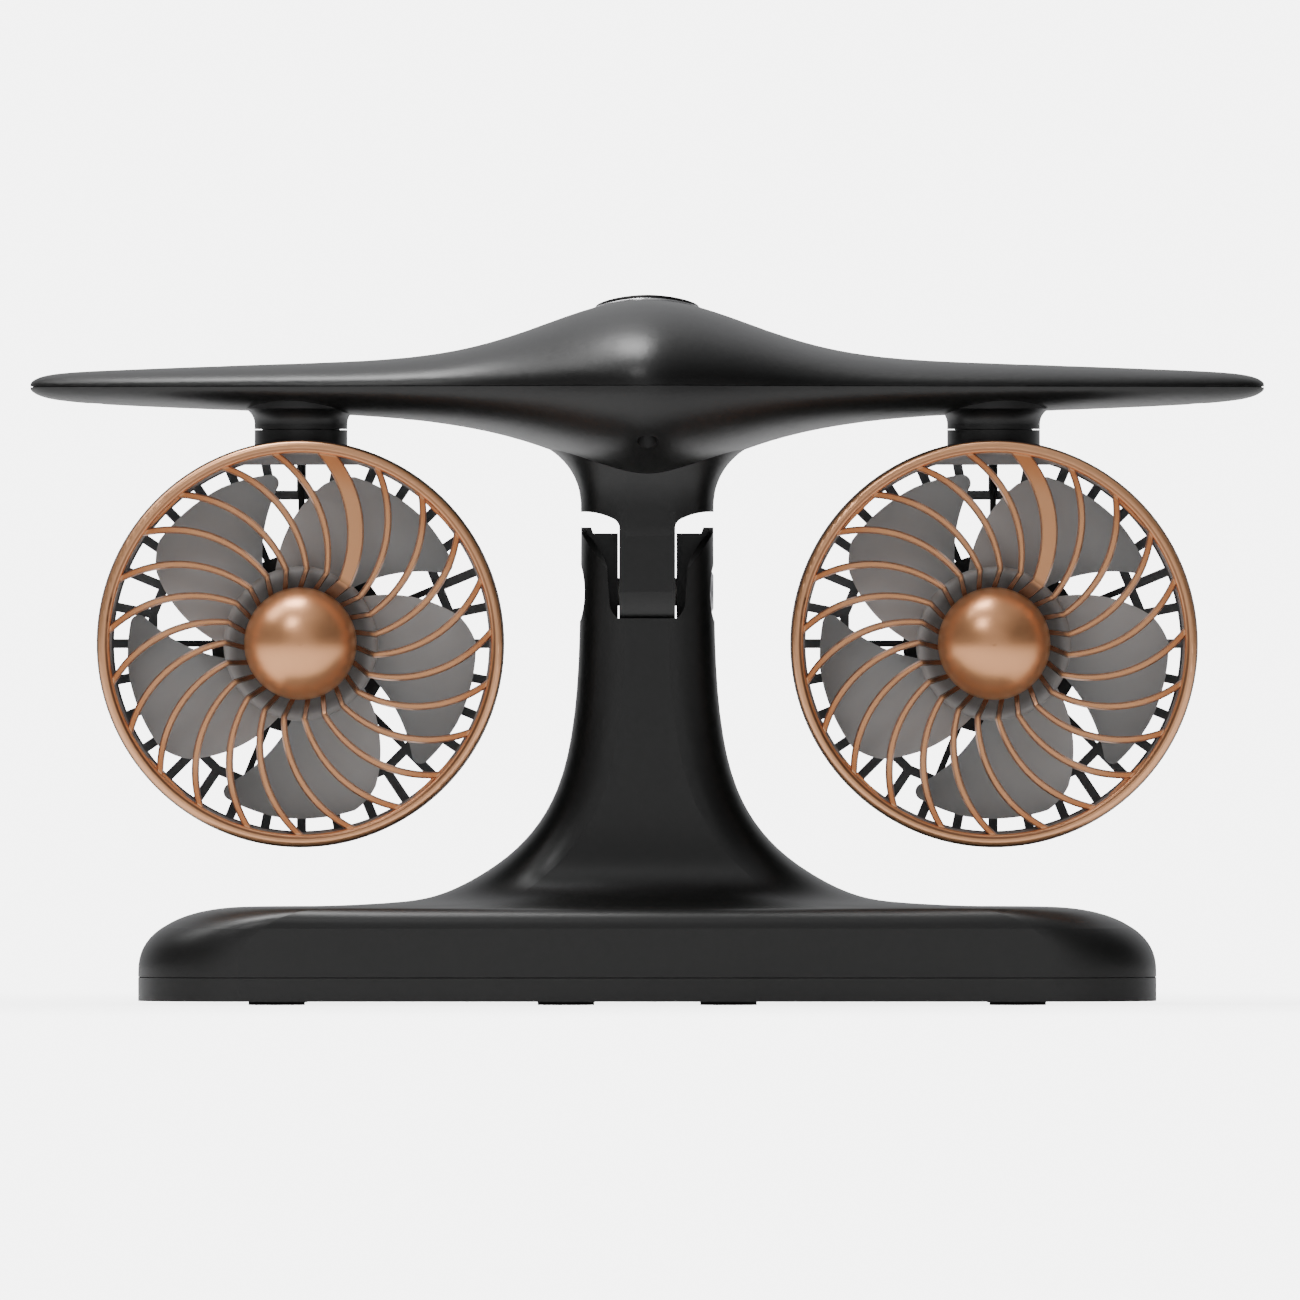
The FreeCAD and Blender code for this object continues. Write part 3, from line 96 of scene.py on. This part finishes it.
def makeEdgeWearAndShading():
    group, given, out = startGroup(
        "edgeWearAndShadingMask", {"Width": 0.0006, "Gain": 4.0, "Breaks": 1.0, "Break Scale": 180.0}, ["Mask"])
    place = addNode(group, "TexCoord").outputs["Object"]
    soft = addNode(group, "Bevel", {"samples": edgeWearAndShadingSettings["samples"]}, {"Radius": given["Width"]})
    true = addNode(group, "NewGeometry").outputs["Normal"]
    match = addNode(group, "VectorMath", {"operation": "DOT_PRODUCT"}, {
        0: soft.outputs["Normal"], 1: true})
    bend = mathNode(group, "SUBTRACT", 1.0, match.outputs["Value"], True)
    strong = mathNode(group, "MULTIPLY", bend, given["Gain"], True)
    breaks = addNode(group, "TexNoise", {}, {
        "Vector": place, "Scale": given["Break Scale"], "Detail": 5.0, "Roughness": 0.65})
    patch = spanNode(group, breaks.outputs["Fac"], edgeWearAndShadingSettings["breakLow"], edgeWearAndShadingSettings["breakHigh"])
    missing = mathNode(group, "SUBTRACT", 1.0, patch)
    lost = mathNode(group, "MULTIPLY", missing, given["Breaks"])
    kept = mathNode(group, "SUBTRACT", 1.0, lost)
    group.links.new(mathNode(group, "MULTIPLY", strong, kept), out["Mask"])
    return group


# dust settled on faces that look up, in the piece's own frame
dustFall = {"steepest": 0.35, "level": 1.0, "speckLow": 0.45, "speckHigh": 0.7, "cloudScale": 40.0}


def makeSettledDust():
    group, given, out = startGroup(
        "settledDust", {"Amount": 0.1, "Speck Scale": 900.0}, ["Mask"])
    coords = addNode(group, "TexCoord").outputs
    place = coords["Object"]
    upward = addNode(group, "SeparateXYZ", {}, {0: coords["Normal"]}).outputs["Z"]
    lying = spanNode(group, upward, dustFall["steepest"], dustFall["level"])
    specks = addNode(group, "TexNoise", {}, {
        "Vector": place, "Scale": given["Speck Scale"], "Detail": 4.0, "Roughness": 0.7})
    clouds = addNode(group, "TexNoise", {}, {
        "Vector": place, "Scale": dustFall["cloudScale"], "Detail": 3.0})
    grains = spanNode(group, specks.outputs["Fac"], dustFall["speckLow"], dustFall["speckHigh"])
    cover = mathNode(group, "MULTIPLY", lying, grains)
    cover = mathNode(group, "MULTIPLY", cover, clouds.outputs["Fac"])
    group.links.new(mathNode(group, "MULTIPLY", cover, given["Amount"], True), out["Mask"])
    return group


# touch marks and flow lines that change the gloss
def makeGlossDrift():
    group, given, out = startGroup(
        "glossDrift", {"Base": 0.4, "Spread": 0.06, "Scale": 60.0}, ["Roughness"])
    place = addNode(group, "TexCoord").outputs["Object"]
    marks = addNode(group, "TexNoise", {}, {
        "Vector": place, "Scale": given["Scale"],
        "Detail": 4.0, "Roughness": 0.55, "Distortion": 0.6})
    centred = mathNode(group, "SUBTRACT", marks.outputs["Fac"], noiseMiddle)
    swing = mathNode(group, "MULTIPLY", centred, given["Spread"])
    group.links.new(mathNode(group, "ADD", swing, given["Base"], True), out["Roughness"])
    return group


# flakes of a metallic finish
def makeMetalFlake():
    group, given, out = startGroup("metalFlake", {"Scale": 9000.0}, ["Flake"])
    place = addNode(group, "TexCoord").outputs["Object"]
    cells = addNode(group, "TexVoronoi", {"feature": "F1"}, {
        "Vector": place, "Scale": given["Scale"]})
    tone = addNode(group, "SeparateXYZ", {}, {0: cells.outputs["Color"]}).outputs["X"]
    group.links.new(tone, out["Flake"])
    return group


# distance from the axis of the fan that a piece belongs to
def makeAxisReach():
    group, given, out = startGroup("axisReach", {"Across": 0.08, "Height": 0.08}, ["Reach"])
    coords = addNode(group, "TexCoord").outputs["Object"]
    place = addNode(group, "SeparateXYZ", {}, {0: coords}).outputs
    outward = mathNode(group, "ABSOLUTE", place["X"])
    across = mathNode(group, "SUBTRACT", outward, given["Across"])
    height = mathNode(group, "SUBTRACT", place["Z"], given["Height"])
    flat = addNode(group, "CombineXYZ", {}, {"X": across, "Z": height}).outputs[0]
    reach = addNode(group, "VectorMath", {"operation": "LENGTH"}, {0: flat})
    group.links.new(reach.outputs["Value"], out["Reach"])
    return group


groups = {
    "grain": makeMouldGrain(),
    "edgeWearAndShading": makeEdgeWearAndShading(),
    "dust": makeSettledDust(),
    "gloss": makeGlossDrift(),
    "flake": makeMetalFlake(),
    "reach": makeAxisReach(),
}
print("shared effects made:", ", ".join(groups))


def useGroup(tree, key, values):
    node = tree.nodes.new("ShaderNodeGroup")
    node.node_tree = groups[key]
    for name, value in values.items():
        node.inputs[name].default_value = value
    return node.outputs


# the Mix node has its sockets once for each kind of data: these are the colour ones
colourSockets = {"first": 6, "second": 7, "result": 2}


def mixColour(tree, share, first, second):
    made = addNode(tree, "Mix", {"data_type": "RGBA"}, {"Factor": share})
    for label, value in (("first", first), ("second", second)):
        socket = made.inputs[colourSockets[label]]
        if isinstance(value, bpy.types.NodeSocket):
            tree.links.new(value, socket)
        else:
            socket.default_value = (*value, 1.0)
    return made.outputs[colourSockets["result"]]


capLow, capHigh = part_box("right_hub_cap")
fanAxis = {"Across": (capLow[0] + capHigh[0]) / 2, "Height": (capLow[2] + capHigh[2]) / 2}


# rings of another tone about the fan's axis, fading in from start to full: the shroud's and rear
# bars' own second colour, and painted shade and painted reflection on the copper and the impeller
def paintToneAndShadeRings(tree, colour, toneAndShadeRings):
    if not toneAndShadeRings:
        return colour
    reach = useGroup(tree, "reach", fanAxis)["Reach"]
    for ring in toneAndShadeRings:
        share = easeNode(tree, reach, ring["start"], ring["full"], (0.0, ring["share"]))
        colour = mixColour(tree, share, colour, ring["tone"])
    return colour


def startMaterial(name, fixed):
    material = bpy.data.materials.new(name)
    material.use_nodes = True
    tree = material.node_tree
    shader = tree.nodes["Principled BSDF"]
    for label, value in fixed.items():
        shader.inputs[label].default_value = value
    return material, tree, shader.inputs


# fine relief over the surface, and a soft turn of the edges where the look has one
edgeTurnSamples = 8


def addRelief(tree, shader, look, height):
    bump = addNode(tree, "Bump", {}, {
        "Strength": look["bump"], "Distance": look["bumpDepth"], "Height": height})
    if "edgeTurn" in look:
        turn = addNode(tree, "Bevel", {"samples": edgeTurnSamples}, {"Radius": look["edgeTurn"]})
        tree.links.new(turn.outputs["Normal"], bump.inputs["Normal"])
    tree.links.new(bump.outputs["Normal"], shader["Normal"])


def useGrain(tree, look):
    scales = {"Scale": look["grainScale"], "Drift Scale": look["driftScale"]}
    return useGroup(tree, "grain", scales)


# moulded plastic: two close tones, grain, rubbed edges and a little dust, which dulls the gloss; on
# the grey plastic the lighter edges are also a painted highlight and the dark ring about the hub is
# painted shade
dustDulling = 0.5


def makePlastic(name, look):
    material, tree, shader = startMaterial(name, look["fixed"])
    grain = useGrain(tree, look)
    edgeWearAndShading = useGroup(tree, "edgeWearAndShading", look["edgeWearAndShading"])
    dust = useGroup(tree, "dust", {"Amount": look["dust"]})
    gloss = useGroup(tree, "gloss", look["gloss"])
    body = mixColour(tree, grain["Drift"], look["dark"], look["light"])
    body = paintToneAndShadeRings(tree, body, look.get("toneAndShadeRings"))
    edgeWornAndShaded = mixColour(tree, edgeWearAndShading["Mask"], body, look["edgeWearAndShadingTone"])
    dusty = mixColour(tree, dust["Mask"], edgeWornAndShaded, look["dustTone"])
    tree.links.new(dusty, shader["Base Color"])
    duller = mathNode(tree, "MULTIPLY", dust["Mask"], dustDulling)
    roughness = mathNode(tree, "ADD", gloss["Roughness"], duller, True)
    tree.links.new(roughness, shader["Roughness"])
    addRelief(tree, shader, look, grain["Height"])
    return material


# metallic finish: flakes in tone and gloss, with a second tone at the edges, which is wear on the
# steel and trim and painted shade on the copper
def makeMetal(name, look):
    material, tree, shader = startMaterial(name, look["fixed"])
    flake = useGroup(tree, "flake", {"Scale": look["flakeScale"]})
    grain = useGrain(tree, look)
    edgeWearAndShading = useGroup(tree, "edgeWearAndShading", look["edgeWearAndShading"])
    gloss = useGroup(tree, "gloss", look["gloss"])
    drift = mixColour(tree, grain["Drift"], look["dark"], look["light"])
    sparkle = mathNode(tree, "MULTIPLY", flake["Flake"], look["flakeShare"])
    body = mixColour(tree, sparkle, drift, look["flakeTone"])
    body = paintToneAndShadeRings(tree, body, look.get("toneAndShadeRings"))
    edgeWornAndShaded = mixColour(tree, edgeWearAndShading["Mask"], body, look["edgeWearAndShadingTone"])
    tree.links.new(edgeWornAndShaded, shader["Base Color"])
    tree.links.new(gloss["Roughness"], shader["Roughness"])
    addRelief(tree, shader, look, grain["Height"])
    return material


# satin black of the stand and wing; the shrouds are grey inside, the button has a softer edge
blackPlastic = {
    "fixed": {"Metallic": 0.0, "Specular IOR Level": 0.5, "IOR": 1.5},
    "dark": (0.0042, 0.0041, 0.0040), "light": (0.0062, 0.0060, 0.0058),
    "edgeWearAndShadingTone": (0.035, 0.034, 0.033), "dustTone": (0.25, 0.24, 0.22), "dust": 0.05,
    "grainScale": 3200.0, "driftScale": 22.0, "bump": 0.12, "bumpDepth": 0.00006,
    "edgeWearAndShading": {"Width": 0.0005, "Gain": 1.2, "Break Scale": 220.0},
    "gloss": {"Base": 0.40, "Spread": 0.07, "Scale": 55.0},
}
shroudPlastic = {
    **blackPlastic,
    "toneAndShadeRings": [{"start": 0.0424, "full": 0.0416, "tone": (0.24, 0.245, 0.25), "share": 1.0}],
    "edgeWearAndShading": {"Width": 0.0004, "Gain": 1.0, "Break Scale": 220.0},
    "gloss": {"Base": 0.38, "Spread": 0.07, "Scale": 55.0},
}
buttonPlastic = {**blackPlastic, "edgeTurn": 0.0009}

plasticLooks = {
    "blackPlastic": blackPlastic,
    "shroudPlastic": shroudPlastic,
    "barPlastic": {
        "fixed": {"Metallic": 0.0, "Specular IOR Level": 0.5, "IOR": 1.5},
        "dark": (0.006, 0.006, 0.006), "light": (0.009, 0.009, 0.009),
        "toneAndShadeRings": [{"start": 0.027, "full": 0.0375, "tone": (0.16, 0.163, 0.168), "share": 1.0}],
        "edgeWearAndShadingTone": (0.05, 0.05, 0.05), "dustTone": (0.25, 0.24, 0.22), "dust": 0.10,
        "grainScale": 2600.0, "driftScale": 40.0, "bump": 0.2, "bumpDepth": 0.00008,
        "edgeWearAndShading": {"Width": 0.0003, "Gain": 1.5, "Break Scale": 300.0},
        "gloss": {"Base": 0.48, "Spread": 0.08, "Scale": 80.0},
    },
    "greyPlastic": {
        "fixed": {"Metallic": 0.0, "Specular IOR Level": 0.45, "IOR": 1.48},
        "dark": (0.425, 0.438, 0.442), "light": (0.485, 0.498, 0.502),
        # painted shade: the impeller darkens about its hub, under the grille's dome
        "toneAndShadeRings": [{"start": 0.0172, "full": 0.0138, "tone": (0.070, 0.055, 0.048), "share": 0.75}],
        # the pale edge tone is rubbed wear and also a painted highlight along the blade edges
        "edgeWearAndShadingTone": (0.72, 0.715, 0.71), "dustTone": (0.35, 0.34, 0.32), "dust": 0.05,
        "grainScale": 2400.0, "driftScale": 45.0, "bump": 0.15, "bumpDepth": 0.00006,
        "edgeWearAndShading": {"Width": 0.0003, "Gain": 1.2, "Break Scale": 260.0},
        "gloss": {"Base": 0.50, "Spread": 0.08, "Scale": 70.0},
    },
    "rubber": {
        "fixed": {"Metallic": 0.0, "Specular IOR Level": 0.35},
        "dark": (0.012, 0.012, 0.012), "light": (0.022, 0.022, 0.022),
        "edgeWearAndShadingTone": (0.05, 0.05, 0.05), "dustTone": (0.3, 0.29, 0.27), "dust": 0.2,
        "grainScale": 1800.0, "driftScale": 60.0, "bump": 0.4, "bumpDepth": 0.0001,
        "edgeWearAndShading": {"Width": 0.0004, "Gain": 2.0, "Break Scale": 300.0},
        "gloss": {"Base": 0.80, "Spread": 0.1, "Scale": 90.0},
    },
    "nylon": {
        "fixed": {"Metallic": 0.0, "Specular IOR Level": 0.5},
        "dark": (0.62, 0.60, 0.55), "light": (0.72, 0.70, 0.65),
        "edgeWearAndShadingTone": (0.8, 0.79, 0.76), "dustTone": (0.4, 0.38, 0.35), "dust": 0.1,
        "grainScale": 2000.0, "driftScale": 80.0, "bump": 0.15, "bumpDepth": 0.00005,
        "edgeWearAndShading": {"Width": 0.0003, "Gain": 1.0, "Break Scale": 300.0},
        "gloss": {"Base": 0.45, "Spread": 0.1, "Scale": 90.0},
    },
    "boardGreen": {
        "fixed": {"Metallic": 0.0, "Specular IOR Level": 0.5},
        "dark": (0.01, 0.10, 0.05), "light": (0.015, 0.14, 0.07),
        "edgeWearAndShadingTone": (0.4, 0.42, 0.3), "dustTone": (0.3, 0.29, 0.27), "dust": 0.1,
        "grainScale": 1400.0, "driftScale": 120.0, "bump": 0.2, "bumpDepth": 0.00008,
        "edgeWearAndShading": {"Width": 0.0002, "Gain": 1.5, "Break Scale": 400.0},
        "gloss": {"Base": 0.35, "Spread": 0.1, "Scale": 120.0},
    },
    "buttonPlastic": buttonPlastic,
}

# copper plating of the grilles and domes; the grille's rings run from its hub to its outer edge;
# the dark and deep orange rings and the dark brown edges are painted shade and painted reflection,
# the other rings the copper's own tone
copperPlate = {
    "fixed": {"Metallic": 0.75},
    "dark": (0.79, 0.372, 0.176), "light": (0.85, 0.412, 0.203),
    # the dark brown edge tone of the copper is painted shade along the sides of the ribs, the ring
    # and the dome, not wear
    "flakeTone": (0.90, 0.50, 0.29), "edgeWearAndShadingTone": (0.20, 0.075, 0.035),
    "flakeScale": 9000.0, "driftScale": 30.0, "bumpDepth": 0.00003,
}
rimTone = (0.83, 0.42, 0.215)

metalLooks = {
    "copperFinish": {
        **copperPlate,
        "toneAndShadeRings": [
            # painted shade: the ribs turn dark brown where they dip towards the dome
            {"start": 0.0176, "full": 0.0150, "tone": (0.045, 0.026, 0.018), "share": 0.92},
            # painted shade and painted reflection: the ribs turn deeper orange close to the ring
            {"start": 0.0330, "full": 0.0410, "tone": (0.62, 0.20, 0.06), "share": 0.75},
            {"start": 0.0412, "full": 0.0416, "tone": rimTone, "share": 1.0},
            # painted shade: a dark line standing in for a groove in the ring
            {"start": 0.0420, "full": 0.0423, "tone": (0.16, 0.065, 0.030), "share": 0.8},
            {"start": 0.0425, "full": 0.0428, "tone": rimTone, "share": 1.0},
            # painted shadow: a dark line along the ring's outer edge
            {"start": 0.0439, "full": 0.0442, "tone": (0.030, 0.014, 0.008), "share": 0.8},
        ],
        "flakeShare": 0.08, "grainScale": 5000.0, "bump": 0.03,
        # painted shade along the grille's edges, barely broken up
        "edgeWearAndShading": {"Width": 0.0004, "Gain": 3.0, "Breaks": 0.15, "Break Scale": 260.0},
        "gloss": {"Base": 0.30, "Spread": 0.06, "Scale": 80.0},
    },
    "copperDome": {
        **copperPlate,
        # painted reflection: the dome darkens to brown towards its rim
        "toneAndShadeRings": [{"start": 0.0116, "full": 0.0130, "tone": (0.13, 0.045, 0.022), "share": 0.9}],
        "flakeShare": 0.06, "grainScale": 6000.0, "bump": 0.02,
        # painted shade around the dome's edges, partly broken up
        "edgeWearAndShading": {"Width": 0.0003, "Gain": 1.0, "Breaks": 0.3, "Break Scale": 260.0},
        "gloss": {"Base": 0.31, "Spread": 0.03, "Scale": 90.0},
    },
    "brightTrim": {
        "fixed": {"Metallic": 0.7}, "edgeTurn": 0.0006,
        "dark": (0.84, 0.84, 0.85), "light": (0.90, 0.90, 0.91),
        "flakeTone": (0.93, 0.93, 0.93), "flakeShare": 0.05, "edgeWearAndShadingTone": (0.7, 0.7, 0.7),
        "flakeScale": 9000.0, "grainScale": 5000.0, "driftScale": 60.0,
        "bump": 0.03, "bumpDepth": 0.00003,
        "edgeWearAndShading": {"Width": 0.0002, "Gain": 0.6, "Break Scale": 300.0},
        "gloss": {"Base": 0.22, "Spread": 0.05, "Scale": 120.0},
    },
    "steel": {
        "fixed": {"Metallic": 1.0},
        "dark": (0.40, 0.40, 0.41), "light": (0.52, 0.52, 0.53),
        "flakeTone": (0.7, 0.7, 0.7), "flakeShare": 0.1, "edgeWearAndShadingTone": (0.65, 0.65, 0.65),
        "flakeScale": 7000.0, "grainScale": 3500.0, "driftScale": 90.0,
        "bump": 0.1, "bumpDepth": 0.00004,
        "edgeWearAndShading": {"Width": 0.0002, "Gain": 1.5, "Break Scale": 400.0},
        "gloss": {"Base": 0.30, "Spread": 0.12, "Scale": 140.0},
    },
}

finishes = {name: makePlastic(name, look) for name, look in plasticLooks.items()}
finishes.update({name: makeMetal(name, look) for name, look in metalLooks.items()})
print("finishes made:", ", ".join(finishes))

# which finish each piece of the frame wears
wears = {
    "stand_shell": "blackPlastic", "base_plate": "blackPlastic", "wing_lower_shell": "blackPlastic",
    "wing_upper_shell": "blackPlastic", "power_button": "buttonPlastic", "rubber_feet": "rubber",
    "base_screws": "steel", "ballast_plate": "steel", "hinge_bolt": "steel", "hinge_nut": "steel",
    "hinge_washers": "nylon", "control_board": "boardGreen", "button_board": "boardGreen",
    "power_inlet": "brightTrim", "button_ring": "brightTrim", "wing_screws": "steel",
    "stand_lead": "rubber", "wing_lead": "rubber",
}
fanWears = {
    "shroud": "shroudPlastic", "swivel_clip": "steel", "front_grille": "copperFinish",
    "hub_cap": "copperDome", "rear_grille": "barPlastic", "motor": "steel", "motor_screws": "steel",
    "impeller": "greyPlastic", "motor_shaft": "steel", "motor_lead": "rubber",
}
for side in ("left", "right"):
    for part, finish in fanWears.items():
        wears[side + "_" + part] = finish
for name, node in nodes.items():
    node.data.materials.clear()
    node.data.materials.append(finishes[wears[name]])
print("finishes given to the frame")

# floor: a pale disc that bounces light everywhere but is seen only close to the base
floorLook = {
    "radius": 1.6, "segments": 96, "tone": (0.86, 0.86, 0.86), "paler": 1.02, "mottleScale": 3.0,
    "fadeStart": 0.05, "fadeEnd": 0.34, "cover": 0.55, "glow": 2.4, "bounce": 0.20,
    "fixed": {"Roughness": 0.7, "Specular IOR Level": 0.2, "Emission Color": white},
}


def makeFloor():
    mesh = bpy.data.meshes.new("paleFloor")
    shape = bmesh.new()
    bmesh.ops.create_circle(
        shape, cap_ends=True, radius=floorLook["radius"], segments=floorLook["segments"])
    shape.to_mesh(mesh)
    shape.free()
    floor = bpy.data.objects.new("paleFloor", mesh)
    bpy.context.scene.collection.objects.link(floor)
    material, tree, shader = startMaterial("paleFloor", floorLook["fixed"])
    place = addNode(tree, "TexCoord").outputs["Object"]
    reach = addNode(tree, "VectorMath", {"operation": "LENGTH"}, {0: place}).outputs["Value"]
    fade = easeNode(
        tree, reach, floorLook["fadeStart"], floorLook["fadeEnd"], (floorLook["cover"], 0.0))
    mottle = addNode(tree, "TexNoise", {}, {
        "Vector": place, "Scale": floorLook["mottleScale"], "Detail": 2.0})
    tone = floorLook["tone"]
    paler = tuple(channel * floorLook["paler"] for channel in tone)
    tree.links.new(mixColour(tree, mottle.outputs["Fac"], tone, paler), shader["Base Color"])
    seen = addNode(tree, "LightPath").outputs["Is Camera Ray"]
    cover = addNode(tree, "Mix", {}, {"Factor": seen, "A": 1.0, "B": fade})
    tree.links.new(cover.outputs["Result"], shader["Alpha"])
    lift = addNode(tree, "Mix", {}, {
        "Factor": seen, "A": floorLook["bounce"], "B": floorLook["glow"]})
    tree.links.new(lift.outputs["Result"], shader["Emission Strength"])
    mesh.materials.append(material)


makeFloor()
print("floor laid")

# soft studio light: boxes overhead, high on the left and at the front left, and a surround that is
# bright behind, dimmer in front and above, and dark at the sides; the camera sees it plain white
lights = {
    "overheadBox": {"at": (-0.18, 0.06, 0.95), "size": (0.42, 0.38), "power": 9.0},
    "highLeftBox": {"at": (-0.76, -0.02, 0.95), "size": (0.60, 0.50), "power": 3.6},
    "frontLeftBox": {"at": (-0.37, -0.84, 0.85), "size": (0.30, 0.30), "power": 2.5},
}
surround = {
    "level": 0.03, "seen": 6.0, "tint": (0.97, 0.98, 1.0, 1.0),
    "lobes": {
        "behind": {"toward": (0.0, 1.0, 0.0), "start": 0.15, "full": 0.85, "glow": 0.75},
        "front": {"toward": (0.0, -1.0, 0.0), "start": 0.78, "full": 0.97, "glow": 0.36},
        "above": {"toward": (0.0, 0.0, 1.0), "start": 0.45, "full": 0.95, "glow": 0.35},
        "brow": {"toward": (0.0, -0.74, 0.67), "start": 0.80, "full": 0.98, "glow": 0.24},
    },
}
aim = Vector((0.0, 0.0, 0.08))


def makeLights():
    for name, spec in lights.items():
        lamp = bpy.data.lights.new(name, "AREA")
        lamp.shape = "RECTANGLE"
        lamp.size, lamp.size_y = spec["size"]
        lamp.energy = spec["power"]
        holder = bpy.data.objects.new(name, lamp)
        holder.location = spec["at"]
        holder.rotation_euler = (aim - holder.location).to_track_quat("-Z", "Y").to_euler()
        holder.visible_camera = False
        bpy.context.scene.collection.objects.link(holder)
    world = bpy.data.worlds.new("paleSurround")
    world.use_nodes = True
    tree = world.node_tree
    glow = tree.nodes["Background"]
    glow.inputs["Color"].default_value = surround["tint"]
    facing = addNode(tree, "TexCoord").outputs["Generated"]
    total = surround["level"]
    for lobe in surround["lobes"].values():
        turned = addNode(tree, "VectorMath", {"operation": "DOT_PRODUCT"}, {
            0: facing, 1: lobe["toward"]}).outputs["Value"]
        spread = easeNode(tree, turned, lobe["start"], lobe["full"], (0.0, lobe["glow"]))
        total = mathNode(tree, "ADD", spread, total)
    tree.links.new(total, glow.inputs["Strength"])
    seen = addNode(tree, "Background", {}, {"Color": white, "Strength": surround["seen"]})
    rays = addNode(tree, "LightPath").outputs["Is Camera Ray"]
    both = addNode(tree, "MixShader", {}, {0: rays, 1: glow.outputs[0], 2: seen.outputs[0]})
    tree.links.new(both.outputs[0], tree.nodes["World Output"].inputs["Surface"])
    bpy.context.scene.world = world


makeLights()
print("lights hung:", ", ".join(lights))

# camera: square-on from the front through a very long lens
view = {"from": 8.0, "across": 0.2842, "middle": (0.0006, 0.0773), "sensor": 36.0, "reach": 100.0}


def makeCamera():
    lens = bpy.data.cameras.new("photoCamera")
    lens.sensor_width = view["sensor"]
    lens.lens = view["sensor"] * view["from"] / view["across"]
    lens.clip_end = view["reach"]
    camera = bpy.data.objects.new("photoCamera", lens)
    camera.location = (view["middle"][0], -view["from"], view["middle"][1])
    camera.rotation_euler = (math.radians(90), 0, 0)
    bpy.context.scene.collection.objects.link(camera)
    bpy.context.scene.camera = camera


makeCamera()
print("camera set")
